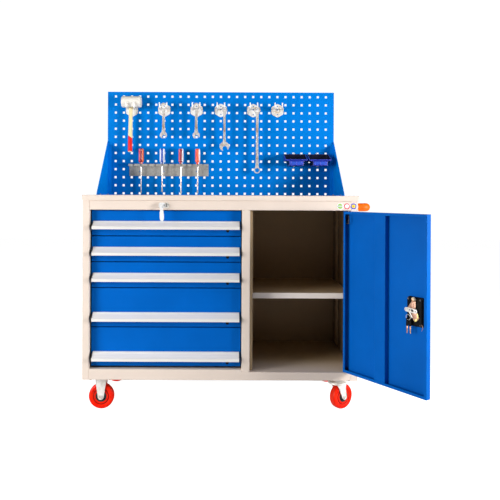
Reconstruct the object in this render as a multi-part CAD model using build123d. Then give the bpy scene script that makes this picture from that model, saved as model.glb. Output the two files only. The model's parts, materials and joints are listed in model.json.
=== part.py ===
from build123d import *
import math
import os

# Mobile workshop cabinet: drawers at the left, a cupboard at the right, and a perforated
# tool board standing behind the worktop. Millimetres. +X is right seen from the front,
# +Y is to the back and +Z is up. The origin is on the floor below the middle of the body.

# Driving dimensions
SHEET = 1.5                 # steel sheet
BEND = 1.0                  # inside radius of a fold
HALF_WIDTH = 532.0          # body, outside
FRONT = -252.0              # front plane of the body
BACK = 252.0                # back plane of the body, and front face of the tool board
BODY_BOTTOM = 136.0
BODY_TOP = 830.0
WORKTOP_TOP = 850.0
WORKTOP_HALF = 535.0
WORKTOP_FRONT = -256.0
STILE_LEFT = -505.5         # edge of the opening beside the left stile
STILE_RIGHT = 504.5         # edge of the opening beside the right stile
POST_LEFT = 84.0
POST_RIGHT = 115.0
RAIL_UNDERSIDE = 793.0      # lower edge of the top rail
SILL_LEFT = 177.0           # top of the bottom rail below the drawers
SILL_RIGHT = 168.0          # top of the bottom rail below the cupboard
FLANGE_BACK = -225.0        # rear edge of the front rails' flanges
DIVIDER_X = 99.5            # middle of the partition between drawers and cupboard

# Drawers, from the top: front heights, with a gap below each
DRAWER_LEFT = -502.0
DRAWER_RIGHT = 81.0
DRAWER_TOP = 790.0
DRAWER_HEIGHTS = [98.0, 98.0, 98.0, 150.0, 150.0]
DRAWER_GAP = 3.0
DRAWER_FACE = FRONT + 23.0  # drawer fronts are set back into the frame
FRONT_PAN_DEPTH = 18.0
TRAY_LEFT = -488.0
TRAY_RIGHT = 67.0
TRAY_BACK = 200.0
TRAY_SHEET = 1.2
TRAY_LIFT = 8.0             # tray floor above the lower edge of its front
TRAY_DROP = 20.0            # tray sides below the upper edge of the front
RUNNER_THICK = 6.0
RUNNER_HEIGHT = 20.0
RUNNER_RISE = 22.0          # middle of the runner above the lower edge of the front
HANDLE_REACH = 35.0
HANDLE_LOW = 26.0           # lower lip of the handle above the lower edge of the front
HANDLE_HIGH = 57.0
CAP_THICK = 2.5
LATCH_X = 28.5
LATCH_HALF = 6.0

# Door, drawn closed, then turned open about its pivot
DOOR_HINGE_EDGE = 501.5
DOOR_FREE_EDGE = 117.5
DOOR_BOTTOM = 170.5
DOOR_TOP = 790.0
DOOR_THICK = 22.0
DOOR_LIP = 10.0
PIVOT_X = 493.5
PIVOT_Y = FRONT + 5.0
PIN_RADIUS = 3.0
PIN_CLEARANCE = 0.06
DOOR_OPEN = 123.6           # degrees
LOCK_X = 172.0              # middle of the lock, door closed
LOCK_Z = 456.0

# Cupboard
SHELF_TOP = 464.0
UPRIGHT_PLACES = [-120.0, 142.0]
UPRIGHT_DEPTH = 8.0
SLOT_PITCH = 25.0
CLIP_Z = 437.0              # middle of the slots that the shelf clips hook into

# Tool board
BOARD_TOP = 1335.0
BOARD_BOTTOM = 770.0
BOARD_FLANGE = 15.0
HOLE = 10.0
PITCH = 38.0
COLUMNS = 27
ROWS = 13
TOP_ROW_Z = 1313.0
GUSSET_BASE = 248.0
GUSSET_APEX = 1104.5
GUSSET_SCREWS = [BACK - GUSSET_BASE + 30, BACK - 50]

# Hook plates and what hangs on them
PLATE_COLUMNS = [2, 6, 10, 13, 17, 20]
PLATE_Z = 1248.7
PLATE_ACROSS_FLATS = 57.6
PLATE_CORNER = 12.0
PEG_SPREAD = 17.0           # each peg from the middle of its plate
PEG_Z = 1253.0
PEG_RADIUS = 3.0
PEG_REACH = 60.0
PEG_RISE = 24.0
WRENCH_RING_RISE = 9.1      # middle of a ring that rests over both pegs
BIN_CENTRES = [344.5, 453.0]
BIN_HOOK_Z = 1038.0
RACK_LEFT = -429.0
RACK_RIGHT = -57.0
RACK_TOP = 995.0
RACK_BOTTOM = 939.0
RACK_REACH = 30.0
RACK_LIP = 11.0
NOTCHES = 12
NOTCH_WIDTH = 9.0
SCREWDRIVER_NOTCHES = [1, 4, 7, 10]
BLADE_ENDS = [857.0, 864.0, 856.0, 858.0]

# Casters
WHEEL_RADIUS = 50.0
WHEEL_WIDTH = 30.0
HUB_RADIUS = 21.0
CASTER_X = 471.0
CASTER_Y = 172.0
AXLE_RADIUS = 5.0
AXLE_CLEARANCE = 0.06
TRAIL = 18.0
PLATE_THICK = 4.0
CHANNEL_SHEET = 3.0         # channels between the casters and the base pan
BOLT_HOLE = 5.25
LEG_THICK = 3.5
LEG_INSIDE = 17.0           # inner face of a fork leg from the wheel's middle plane
SWIVEL_ANGLES = {"front": 33.0, "rear": 20.0}

# Drawer lock
LOCK_BARREL_X = -209.0
LOCK_BARREL_Z = 811.0
PLUG_RADIUS = 7.2

# Push handle on the right side
HANDLE_Z = 805.0
HANDLE_AXIS_X = 584.0
HANDLE_LEG_Y = 176.0
GRIP_RADIUS = 16.0
TUBE_RADIUS = 14.0


# Helpers

def block(x0, x1, y0, y1, z0, z1):
    """A box between two corners."""
    corner = (Align.MIN, Align.MIN, Align.MIN)
    return Pos(x0, y0, z0) * Box(x1 - x0, y1 - y0, z1 - z0, align=corner)


def rod(start, end, radius):
    """A round bar from one point to another."""
    a = Vector(*start)
    b = Vector(*end)
    ends = Plane(origin=a, z_dir=b - a)
    return extrude(ends * Circle(radius), amount=(b - a).length)


def plane_along(axis, start):
    """Sketch plane for an outline that is extruded along an axis: XY, YZ or ZX."""
    if axis == "Z":
        return Plane(origin=(0, 0, start), x_dir=(1, 0, 0), z_dir=(0, 0, 1))
    if axis == "X":
        return Plane(origin=(start, 0, 0), x_dir=(0, 1, 0), z_dir=(1, 0, 0))
    return Plane(origin=(0, start, 0), x_dir=(0, 0, 1), z_dir=(0, 1, 0))


def prism(outline, axis, start, end):
    """A closed outline extruded along an axis."""
    face = make_face(Polyline(*outline, close=True))
    return extrude(plane_along(axis, start) * face, amount=end - start)


def offset_points(points, distance):
    """The points of an open outline moved sideways; left of travel is positive."""
    moved = []
    last = len(points) - 1
    for i, (x, y) in enumerate(points):
        into = points[i - 1] if i > 0 else points[0]
        here = (x, y) if i > 0 else points[1]
        ax, ay = here[0] - into[0], here[1] - into[1]
        length = math.hypot(ax, ay)
        ax, ay = ax / length, ay / length
        nxt = points[i + 1] if i < last else (x + ax, y + ay)
        bx, by = nxt[0] - x, nxt[1] - y
        length = math.hypot(bx, by)
        bx, by = bx / length, by / length
        share = 1 + ax * bx + ay * by
        moved.append((x - (ay + by) / share * distance, y + (ax + bx) / share * distance))
    return moved


def folded(points, axis, start, end, sheet):
    """Sheet folded along an open outline, with rounded folds, and extruded along an axis.

    A positive sheet thickness lies to the left of travel, a negative one to the right.
    """
    other = offset_points(points, sheet)
    radii = []
    for a, b, c in zip(points, points[1:], points[2:]):
        turn = (b[0] - a[0]) * (c[1] - b[1]) - (b[1] - a[1]) * (c[0] - b[0])
        inside = turn * sheet > 0
        radii.append(BEND + abs(sheet) if inside else BEND)
    far = [BEND if r > BEND else BEND + abs(sheet) for r in radii]
    near_side = FilletPolyline(*points, radius=radii)
    far_side = FilletPolyline(*other, radius=far)
    ends = [Line(points[0], other[0]), Line(points[-1], other[-1])]
    face = make_face([near_side, far_side] + ends)
    return extrude(plane_along(axis, start) * face, amount=end - start)


def tube_path(points, bend, radius):
    """A round bar along straight runs joined by arcs."""
    path = FilletPolyline(*points, radius=bend)
    profile = Plane(origin=path @ 0, z_dir=path % 0) * Circle(radius)
    return sweep(profile, path=path)


def group(solids):
    """Separate solids that share one node."""
    return Compound(children=list(solids))


def save(shape, node):
    export_step(shape, "parts/" + node + ".step")


# Body

def left_side_panel():
    outline = [(STILE_LEFT, -230), (STILE_LEFT, FRONT), (-HALF_WIDTH, FRONT)]
    outline += [(-HALF_WIDTH, BACK), (-512, BACK)]
    return folded(outline, "Z", BODY_BOTTOM, BODY_TOP, -SHEET)


def right_side_panel():
    outline = [(STILE_RIGHT, -230), (STILE_RIGHT, FRONT), (HALF_WIDTH, FRONT)]
    outline += [(HALF_WIDTH, BACK), (512, BACK)]
    return folded(outline, "Z", BODY_BOTTOM, BODY_TOP, SHEET)


def back_panel():
    inside = HALF_WIDTH - SHEET - BEND
    return block(-inside, inside, BACK - 2 * SHEET, BACK - SHEET, BODY_BOTTOM, BODY_TOP)


def base_pan():
    """Cabinet floor with its side flanges, and the two channels that carry the casters."""
    inside = HALF_WIDTH - SHEET
    outline = [(BODY_BOTTOM + 2, -inside), (SILL_RIGHT, -inside)]
    outline += [(SILL_RIGHT, inside), (BODY_BOTTOM + 2, inside)]
    pieces = [folded(outline, "Y", FLANGE_BACK, BACK - 2 * SHEET, SHEET)]
    for side in (-1, 1):
        low = side * CASTER_X - 52
        channel = [(SILL_RIGHT - SHEET, low), (BODY_BOTTOM, low)]
        channel += [(BODY_BOTTOM, low + 104), (SILL_RIGHT - SHEET, low + 104)]
        piece = folded(channel, "Y", FLANGE_BACK, BACK - 2 * SHEET, -CHANNEL_SHEET)
        for x, y in bolt_places(side):
            piece -= Pos(x, y, BODY_BOTTOM) * Cylinder(BOLT_HOLE, 12)
        pieces.append(piece)
    return group(pieces)


def top_rail():
    outline = [(FLANGE_BACK, RAIL_UNDERSIDE), (FRONT, RAIL_UNDERSIDE)]
    outline += [(FRONT, BODY_TOP), (FLANGE_BACK, BODY_TOP)]
    rail = folded(outline, "X", STILE_LEFT, STILE_RIGHT, -SHEET)
    rail -= rod((LOCK_BARREL_X, FRONT - 1, LOCK_BARREL_Z), (LOCK_BARREL_X, FRONT + 5, LOCK_BARREL_Z), 9.5)
    rail -= Pos(PIVOT_X, PIVOT_Y, RAIL_UNDERSIDE) * Cylinder(PIN_RADIUS + PIN_CLEARANCE, 8)
    return rail


def bottom_rail():
    solids = []
    for start, end, sill in ((STILE_LEFT, POST_LEFT, SILL_LEFT), (POST_LEFT, STILE_RIGHT, SILL_RIGHT)):
        outline = [(FLANGE_BACK, sill), (FRONT, sill)]
        outline += [(FRONT, BODY_BOTTOM), (FLANGE_BACK, BODY_BOTTOM)]
        solids.append(folded(outline, "X", start, end, SHEET))
    rail = solids[0] + solids[1]
    rail -= Pos(PIVOT_X, PIVOT_Y, SILL_RIGHT) * Cylinder(PIN_RADIUS + PIN_CLEARANCE, 8)
    return rail


def centre_divider():
    """Front post, partition sheet and the strip that the door closes against."""
    outline = [(POST_LEFT, FLANGE_BACK), (POST_LEFT, FRONT)]
    outline += [(POST_RIGHT, FRONT), (POST_RIGHT, FLANGE_BACK)]
    post = folded(outline, "Z", SILL_RIGHT, RAIL_UNDERSIDE, SHEET)
    half = SHEET / 2
    sheet = block(DIVIDER_X - half, DIVIDER_X + half, FLANGE_BACK, BACK - 2 * SHEET, SILL_RIGHT, BODY_TOP)
    web = block(POST_LEFT, 127, FLANGE_BACK, FLANGE_BACK + SHEET, SILL_RIGHT, RAIL_UNDERSIDE)
    return post + sheet + web


def worktop():
    """Folded steel pan with a return under each edge."""
    skin = block(-WORKTOP_HALF, WORKTOP_HALF, WORKTOP_FRONT, BACK, BODY_TOP, WORKTOP_TOP)
    upright = skin.edges().filter_by(Axis.Z)
    skin = fillet(upright, 3)
    skin = fillet(skin.faces().sort_by(Axis.Z)[-1].edges(), 2.5)
    inner = block(
        -WORKTOP_HALF + SHEET, WORKTOP_HALF - SHEET, WORKTOP_FRONT + SHEET, BACK - SHEET,
        BODY_TOP + SHEET, WORKTOP_TOP - SHEET,
    )
    opening = block(
        -WORKTOP_HALF + 16, WORKTOP_HALF - 16, WORKTOP_FRONT + 16, BACK - 16,
        BODY_TOP - 1, BODY_TOP + SHEET + 1,
    )
    return skin - inner - opening


def worktop_core():
    gap = SHEET + 0.1
    return block(
        -WORKTOP_HALF + gap, WORKTOP_HALF - gap, WORKTOP_FRONT + gap, BACK - gap,
        BODY_TOP + SHEET, WORKTOP_TOP - SHEET,
    )


# Tool board

def column_x(index):
    return -0.5 * (COLUMNS - 1) * PITCH + index * PITCH


def pegboard():
    middle_z = (BOARD_TOP + BOARD_BOTTOM) / 2
    height = BOARD_TOP - BOARD_BOTTOM
    grid_z = TOP_ROW_Z - (ROWS - 1) * PITCH / 2
    sheet = Rectangle(2 * HALF_WIDTH, height)
    holes = Pos(0, grid_z - middle_z) * GridLocations(PITCH, PITCH, COLUMNS, ROWS) * Rectangle(HOLE, HOLE)
    face = Plane(origin=(0, BACK + SHEET, middle_z), x_dir=(1, 0, 0), z_dir=(0, -1, 0))
    board = extrude(face * (sheet - holes), amount=SHEET)
    rear = BACK + BOARD_FLANGE
    for side in (-1, 1):
        edge = sorted((side * HALF_WIDTH, side * (HALF_WIDTH - SHEET)))
        board += block(edge[0], edge[1], BACK + SHEET, rear, BOARD_BOTTOM, BOARD_TOP)
    inside = HALF_WIDTH - SHEET
    board += block(-inside, inside, BACK + SHEET, rear, BOARD_TOP - SHEET, BOARD_TOP)
    folds = board.edges().filter_by(Axis.Z).filter_by_position(Axis.Y, BACK - 0.1, BACK + 0.1)
    outer = [e for e in folds if abs(abs(e.center().X) - HALF_WIDTH) < 0.1]
    return fillet(outer, 1.4)


def side_gussets():
    solids = []
    for side in (-1, 1):
        outer = side * HALF_WIDTH
        inner = side * (HALF_WIDTH - SHEET)
        low, high = sorted((outer, inner))
        triangle = [(BACK, WORKTOP_TOP), (BACK - GUSSET_BASE, WORKTOP_TOP)]
        triangle += [(BACK - GUSSET_BASE, WORKTOP_TOP + 8), (BACK, GUSSET_APEX)]
        web = prism(triangle, "X", low, high)
        low, high = sorted((inner, side * (HALF_WIDTH - 18)))
        foot = block(low, high, BACK - GUSSET_BASE + 6, BACK, WORKTOP_TOP, WORKTOP_TOP + SHEET)
        for y in GUSSET_SCREWS:
            foot -= Pos(side * 522, y, WORKTOP_TOP) * Cylinder(2.2, 8)
        rear = block(low, high, BACK - SHEET, BACK, WORKTOP_TOP + SHEET, GUSSET_APEX - 10)
        solids.append(web + foot + rear)
    return group(solids)


# Cupboard

def shelf():
    outline = [(-174, SHELF_TOP - 22), (-188, SHELF_TOP - 22), (-188, SHELF_TOP)]
    outline += [(238, SHELF_TOP), (238, SHELF_TOP - 22)]
    pan = folded(outline, "X", 109, 522, -SHEET)
    for x in (109, 522 - SHEET):
        pan += block(x, x + SHEET, -186, 236, SHELF_TOP - 20, SHELF_TOP - SHEET)
    return pan


def shelf_uprights():
    """Four slotted strips and the four clips that carry the shelf."""
    solids = []
    left = DIVIDER_X + SHEET / 2
    right = HALF_WIDTH - SHEET
    for wall, way in ((left, 1), (right, -1)):
        for y in UPRIGHT_PLACES:
            tip = wall + way * UPRIGHT_DEPTH
            outline = [(wall, y - 11), (tip, y - 11), (tip, y + 11), (wall, y + 11)]
            strip = folded(outline, "Z", 180, 780, way * SHEET)
            for i in range(-10, 14):
                slot_z = CLIP_Z + i * SLOT_PITCH
                strip -= Pos(tip, y, slot_z) * Box(8, 5, 13)
            solids.append(strip)
            low, high = sorted((tip, tip + way * 14))
            clip = block(low, high, y - 8, y + 8, 440, 442)
            low, high = sorted((tip, tip + way * 2))
            clip += block(low, high, y - 8, y + 8, 424, 440)
            low, high = sorted((tip, tip - way * 4))
            clip += block(low, high, y - 2, y + 2, 431, 440)
            solids.append(clip)
    return group(solids)


# Drawers

def drawer_bottoms():
    """Lower edge of each drawer front, from the top drawer down."""
    bottoms = []
    top = DRAWER_TOP
    for height in DRAWER_HEIGHTS:
        bottoms.append(top - height)
        top -= height + DRAWER_GAP
    return bottoms


def drawer_rails():
    """Fixed rails: an open channel round each runner, on stand-offs to the side panel or partition."""
    solids = []
    half = RUNNER_HEIGHT / 2 + 1 + SHEET
    left_wall = -HALF_WIDTH + SHEET
    right_wall = DIVIDER_X - SHEET / 2
    for bottom in drawer_bottoms():
        z = bottom + RUNNER_RISE
        for runner, wall, way in ((TRAY_LEFT, left_wall, 1), (TRAY_RIGHT, right_wall, -1)):
            web = runner - way * (RUNNER_THICK + 6)
            lip = runner - way * 2
            outline = [(lip, z - half), (web, z - half), (web, z + half), (lip, z + half)]
            outline = [(b, a) for a, b in outline]
            channel = folded(outline, "Y", -200, 215, way * SHEET)
            low, high = sorted((wall, web))
            for y in (-180, 180):
                channel += block(low, high, y - 12, y + 12, z - 9, z + 9)
            solids.append(channel)
    return group(solids)


def drawer_body(bottom, height):
    """Front pan, the folded tray behind it with its back plate, and the two runners."""
    top = bottom + height
    rear = DRAWER_FACE + FRONT_PAN_DEPTH
    front = block(DRAWER_LEFT, DRAWER_RIGHT, DRAWER_FACE, rear, bottom, top)
    front = fillet(front.faces().sort_by(Axis.Y)[0].edges(), 2)
    front -= block(
        DRAWER_LEFT + SHEET, DRAWER_RIGHT - SHEET, DRAWER_FACE + SHEET, rear + 1,
        bottom + SHEET, top - SHEET,
    )
    floor = bottom + TRAY_LIFT
    rim = top - TRAY_DROP
    start = DRAWER_FACE + SHEET
    inner_left = TRAY_LEFT + TRAY_SHEET
    inner_right = TRAY_RIGHT - TRAY_SHEET
    tray = block(TRAY_LEFT, TRAY_RIGHT, start, TRAY_BACK, floor, rim)
    tray -= block(inner_left, inner_right, start - 1, TRAY_BACK + 1, floor + TRAY_SHEET, rim + 1)
    back = block(inner_left, inner_right, TRAY_BACK - TRAY_SHEET, TRAY_BACK, floor + TRAY_SHEET, rim)
    z = bottom + RUNNER_RISE
    half = RUNNER_HEIGHT / 2
    runners = []
    for inner, outer in ((TRAY_LEFT, TRAY_LEFT - RUNNER_THICK), (TRAY_RIGHT, TRAY_RIGHT + RUNNER_THICK)):
        low, high = sorted((inner, outer))
        runners.append(block(low, high, -205, TRAY_BACK, z - half, z + half))
    return group([front, tray, back] + runners)


def handle_outline(bottom):
    """Section of the pull: a sloping face, set in between two lips, over a finger channel."""
    y = DRAWER_FACE
    reach = y - HANDLE_REACH
    high = bottom + HANDLE_HIGH
    low = bottom + HANDLE_LOW
    return [
        (y, low + 4), (y, high), (y - 5, high), (y - 8, high - 2), (y - 8, high - 4),
        (reach + 4, high - 20), (reach + 3, high - 18), (reach, high - 20), (reach, low),
        (reach + 6, low), (reach + 6, low + 2), (reach + 2.2, low + 2), (reach + 2.2, high - 22.5),
        (y - 7, high - 6.8), (y - 2, high - 4.2), (y - 2, low + 4),
    ]


def cap_outline(bottom):
    y = DRAWER_FACE
    reach = y - HANDLE_REACH
    high = bottom + HANDLE_HIGH
    low = bottom + HANDLE_LOW
    return [(y, low), (y, high), (y - 5, high), (reach, high - 20), (reach, low)]


def drawer_handle(bottom):
    """Full-width aluminium pull with a moulded cap at each end."""
    left = -497.0
    right = 77.0
    pull = prism(handle_outline(bottom), "X", left + CAP_THICK, right - CAP_THICK)
    caps = [prism(cap_outline(bottom), "X", left, left + CAP_THICK)]
    caps.append(prism(cap_outline(bottom), "X", right - CAP_THICK, right))
    return group([pull] + caps)


def drawer_latch(bottom):
    """Thumb tab behind the lower lip of the pull, with an arm to the drawer front."""
    low = bottom + HANDLE_LOW
    reach = DRAWER_FACE - HANDLE_REACH
    tab = block(LATCH_X - LATCH_HALF, LATCH_X + LATCH_HALF, reach + 7, reach + 10, low - 11, low + 8)
    tab = fillet(tab.edges().filter_by(Axis.Y).sort_by(Axis.Z)[:2], 5.5)
    arm = block(LATCH_X - 4, LATCH_X + 4, reach + 10, DRAWER_FACE - 3, low + 5, low + 8)
    return tab + arm


# Door

def closed_door_leaf():
    """Folded pan, open to the inside, with a stiffening channel."""
    rear = FRONT + DOOR_THICK
    leaf = block(DOOR_FREE_EDGE, DOOR_HINGE_EDGE, FRONT, rear, DOOR_BOTTOM, DOOR_TOP)
    leaf = fillet(leaf.edges().filter_by(Axis.Z), 2)
    leaf -= block(
        DOOR_FREE_EDGE + SHEET, DOOR_HINGE_EDGE - SHEET, FRONT + SHEET, rear - SHEET,
        DOOR_BOTTOM + SHEET, DOOR_TOP - SHEET,
    )
    leaf -= block(
        DOOR_FREE_EDGE + DOOR_LIP, DOOR_HINGE_EDGE - DOOR_LIP, rear - 2 * SHEET, rear + 1,
        DOOR_BOTTOM + DOOR_LIP, DOOR_TOP - DOOR_LIP,
    )
    width = DOOR_HINGE_EDGE - DOOR_FREE_EDGE
    left = DOOR_HINGE_EDGE - 0.535 * width
    right = DOOR_HINGE_EDGE - 0.405 * width
    outline = [(left, FRONT + SHEET), (left, rear - 2), (right, rear - 2), (right, FRONT + SHEET)]
    leaf += folded(outline, "Z", DOOR_BOTTOM + SHEET, DOOR_TOP - SHEET, -SHEET)
    pin = PIN_RADIUS + 0.05
    leaf -= Pos(PIVOT_X, PIVOT_Y, DOOR_TOP) * Cylinder(pin, 12)
    leaf -= Pos(PIVOT_X, PIVOT_Y, DOOR_BOTTOM) * Cylinder(pin, 12)
    leaf -= block(LOCK_X - 16, LOCK_X + 16, FRONT - 1, FRONT + 4, LOCK_Z - 46, LOCK_Z + 46)
    return leaf


def closed_door_pins():
    """Spring bolt with its bent-wire pull at the top, plain pin at the bottom."""
    top = rod((PIVOT_X, PIVOT_Y, 740), (PIVOT_X, PIVOT_Y, 799), PIN_RADIUS)
    turn = PIVOT_Y + 11
    loop = [(PIVOT_X, PIVOT_Y, 743.5), (PIVOT_X, turn, 743.5), (PIVOT_X - 16, turn, 743.5)]
    loop += [(PIVOT_X - 16, turn, 772)]
    wire = tube_path(loop, 3.5, 1.5)
    bracket = block(PIVOT_X - 5, PIVOT_X + 5, PIVOT_Y - 3.4, PIVOT_Y + 5, 752, 756)
    bracket -= Pos(PIVOT_X, PIVOT_Y, 754) * Cylinder(PIN_RADIUS + 0.05, 10)
    bottom = rod((PIVOT_X, PIVOT_Y, 160), (PIVOT_X, PIVOT_Y, 186), PIN_RADIUS)
    return [top + wire, bracket, bottom]


def closed_door_lock():
    """Recessed outer pull, housing behind it, and two keys hanging from the housing."""
    skin = FRONT + SHEET
    bezel = block(LOCK_X - 22, LOCK_X + 22, FRONT - 2, FRONT, LOCK_Z - 55, LOCK_Z + 55)
    bezel = fillet(bezel.edges().filter_by(Axis.Y), 8)
    bezel -= block(LOCK_X - 15, LOCK_X + 15, FRONT - 3, FRONT + 1, LOCK_Z - 45, LOCK_Z + 45)
    paddle = block(LOCK_X - 14.5, LOCK_X + 14.5, FRONT - 1.5, FRONT + 1, LOCK_Z - 10, LOCK_Z + 44.5)
    housing = block(LOCK_X - 33, LOCK_X + 33, skin, FRONT + 17, LOCK_Z - 52, LOCK_Z + 52)
    housing = fillet(housing.edges().filter_by(Axis.Y), 5)
    housing -= block(LOCK_X - 15, LOCK_X + 15, skin - 1, FRONT + 12, LOCK_Z - 45, LOCK_Z + 45)
    stem = rod((LOCK_X, FRONT + 17, LOCK_Z + 6), (LOCK_X, FRONT + 27, LOCK_Z + 6), 4)
    hook = rod((LOCK_X + 20, FRONT + 17, LOCK_Z - 12), (LOCK_X + 20, FRONT + 28, LOCK_Z - 12), 1.5)
    solids = [bezel, paddle, housing + stem + hook]
    ring_place = Pos(LOCK_X + 20, FRONT + 26.2, LOCK_Z - 19.5) * Rot(90, 0, 0)
    ring = ring_place * Torus(9.9, 0.8)
    ring_room = ring_place * Torus(9.9, 1.0)
    for side in (-1, 1):
        x = LOCK_X + 20 + side * 5.5
        head = block(x - 4.5, x + 4.5, FRONT + 24.5, FRONT + 28, LOCK_Z - 52, LOCK_Z - 22)
        head = fillet(head.edges().filter_by(Axis.Y), 3)
        blade = block(x - 2.5, x + 2.5, FRONT + 25.2, FRONT + 27.2, LOCK_Z - 76, LOCK_Z - 52)
        solids += [head - ring_room, blade]
    return solids + [ring]


def closed_door_cam():
    """Turning cam with its brass levers, on the stem of the lock."""
    axis_z = LOCK_Z + 6
    near = FRONT + 18.0
    plate = block(LOCK_X - 22, LOCK_X + 26, near, near + 3, axis_z - 8, axis_z + 8)
    plate = fillet(plate.edges().filter_by(Axis.Y), 6)
    upper = prism([(axis_z + 4, LOCK_X - 8), (axis_z + 4, LOCK_X + 8), (axis_z + 34, LOCK_X + 6),
                   (axis_z + 40, LOCK_X + 1), (axis_z + 34, LOCK_X - 4)], "Y", near + 3, near + 5)
    lower = prism([(axis_z - 4, LOCK_X + 6), (axis_z - 4, LOCK_X - 10), (axis_z - 34, LOCK_X - 22),
                   (axis_z - 38, LOCK_X - 8)], "Y", near + 3, near + 5)
    cam = plate + upper + lower
    return cam - rod((LOCK_X, near - 1, axis_z), (LOCK_X, near + 6, axis_z), 4.06)


def swing_open(shape):
    """Turns a piece of the closed door to the position in which it is stored."""
    return shape.rotate(Axis((PIVOT_X, PIVOT_Y, 0), (0, 0, 1)), DOOR_OPEN)


# Hooks, rack and bins

def hook_plate(x):
    """Hexagonal plate with three holes, two upturned pegs and two tabs hooked in the board."""
    face = Plane(origin=(x, BACK, PLATE_Z), x_dir=(0, 0, 1), z_dir=(0, -1, 0))
    hexagon = RegularPolygon(PLATE_ACROSS_FLATS / 2, 6, major_radius=False, rotation=0)
    hexagon = fillet(hexagon.vertices(), PLATE_CORNER)
    plate = extrude(face * hexagon, amount=SHEET)
    for dz in (19.5, 3.8, -18.5):
        plate -= rod((x, BACK + 1, PLATE_Z + dz), (x, BACK - 4, PLATE_Z + dz), 2.6)
    for side in (-1, 1):
        px = x + side * PEG_SPREAD
        tip = BACK - SHEET - PEG_REACH
        points = [(px, BACK - SHEET, PEG_Z), (px, tip, PEG_Z), (px, tip, PEG_Z + PEG_RISE)]
        plate += tube_path(points, 7, PEG_RADIUS)
    for row in (1, 2):
        z = TOP_ROW_Z - row * PITCH
        plate += block(x - 3, x + 3, BACK, BACK + 4, z - 4.5, z - 3)
        plate += block(x - 3, x + 3, BACK + 2.5, BACK + 4, z - 10, z - 4.5)
    return plate


def bin_hook(x):
    """Round-ended plate on the board with an upturned tab for a bin."""
    face = Plane(origin=(x, BACK, 1016), x_dir=(0, 0, 1), z_dir=(0, -1, 0))
    plate = extrude(face * SlotOverall(64, 26), amount=SHEET)
    plate += block(x - 9, x + 9, BACK - 7.5, BACK - SHEET, BIN_HOOK_Z - 2, BIN_HOOK_Z)
    plate += block(x - 9, x + 9, BACK - 7.5, BACK - 6, BIN_HOOK_Z, BIN_HOOK_Z + 3.5)
    return plate


def tool_hooks():
    plates = [hook_plate(column_x(c)) for c in PLATE_COLUMNS]
    return group(plates + [bin_hook(x) for x in BIN_CENTRES])


def notch_x(index):
    """Notches stand closer together towards the right, where the smaller tools go."""
    return -406.0 + 35.5 * index - 0.56 * index ** 2


def screwdriver_rack():
    """Folded rack: notched shelf with a turned-down lip, back plate and a small bottom flange."""
    front = BACK - RACK_REACH
    outline = [(front, RACK_TOP - RACK_LIP), (front, RACK_TOP), (BACK, RACK_TOP)]
    outline += [(BACK, RACK_BOTTOM), (BACK - 6, RACK_BOTTOM)]
    rack = folded(outline, "X", RACK_LEFT, RACK_RIGHT, -SHEET)
    for i in range(NOTCHES):
        x = notch_x(i)
        half = NOTCH_WIDTH / 2
        rack -= block(x - half, x + half, front - 1, BACK - 14, RACK_TOP - RACK_LIP - 1, RACK_TOP + 1)
    for column in (3, 6, 10):
        x = column_x(column)
        rack -= rod((x, BACK - 4, 961), (x, BACK + 1, 961), 2.6)
    return rack


def parts_bin(x):
    """Open-fronted plastic bin, narrower below, hooked over its tab by a rear rim."""
    front = BACK - 102
    rear = BACK - 9.5
    base = 986.0
    shoulder = 1008.0
    rim = 1044.0
    wall = 2.0
    wide = 51.0
    slim = 35.5
    shell = block(x - wide, x + wide, front, rear, shoulder, rim)
    shell += block(x - slim, x + slim, front, rear, base, shoulder)
    shell -= block(x - wide + wall, x + wide - wall, front - 1, rear - wall, shoulder + wall, rim + 1)
    shell -= block(x - slim + wall, x + slim - wall, front + wall, rear - wall, base + wall, rim + 1)
    shell += block(x - slim, x + slim, front, front + wall, base, shoulder + wall)
    slope = [(front - 1, shoulder + 5), (front - 1, rim + 1), (rear - 14, rim + 1)]
    shell -= prism(slope, "X", x - wide - 1, x + wide + 1)
    shell += block(x - 20, x + 20, rear, BACK - 2, rim - 2, rim)
    shell += block(x - 20, x + 20, BACK - 3.6, BACK - 2, BIN_HOOK_Z + 0.5, rim - 2)
    return shell


# Hand tools

def mallet():
    """White head across two pegs, with its handle hanging between them."""
    x = column_x(PLATE_COLUMNS[0]) + 2
    y = BACK - SHEET - 29
    z = PEG_Z + PEG_RADIUS + 0.3 + 26.5
    head = rod((x - 46.5, y, z), (x + 46.5, y, z), 26.5)
    head = fillet(head.edges().filter_by(GeomType.CIRCLE), 5)
    top = Plane(origin=(x, y, z + 24))
    foot = Plane(origin=(x - 4, y, 1049))
    handle = loft([top * Ellipse(9, 8), foot * Ellipse(10, 8.5)])
    return group([head - handle, handle])


def wrench(x, y, top_z, span, ring, bore, shank, jaw):
    """Spanner hanging by a ring; the lower end is an open jaw, or a second ring if jaw is negative."""
    end_z = top_z - span
    ring_half = 4.5
    body = rod((x, y - ring_half, top_z), (x, y + ring_half, top_z), ring / 2)
    body += block(x - shank / 2, x + shank / 2, y - 2.5, y + 2.5, end_z, top_z)
    far = abs(jaw)
    body += rod((x, y - ring_half, end_z), (x, y + ring_half, end_z), far / 2)
    body -= rod((x, y - 9, top_z), (x, y + 9, top_z), bore / 2)
    if jaw < 0:
        return body - rod((x, y - 9, end_z), (x, y + 9, end_z), bore / 2)
    slot = Pos(0, 0, -far / 2) * Box(far * 0.46, 20, far)
    return body - Pos(x, y, end_z) * Rot(0, 15, 0) * slot


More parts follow.
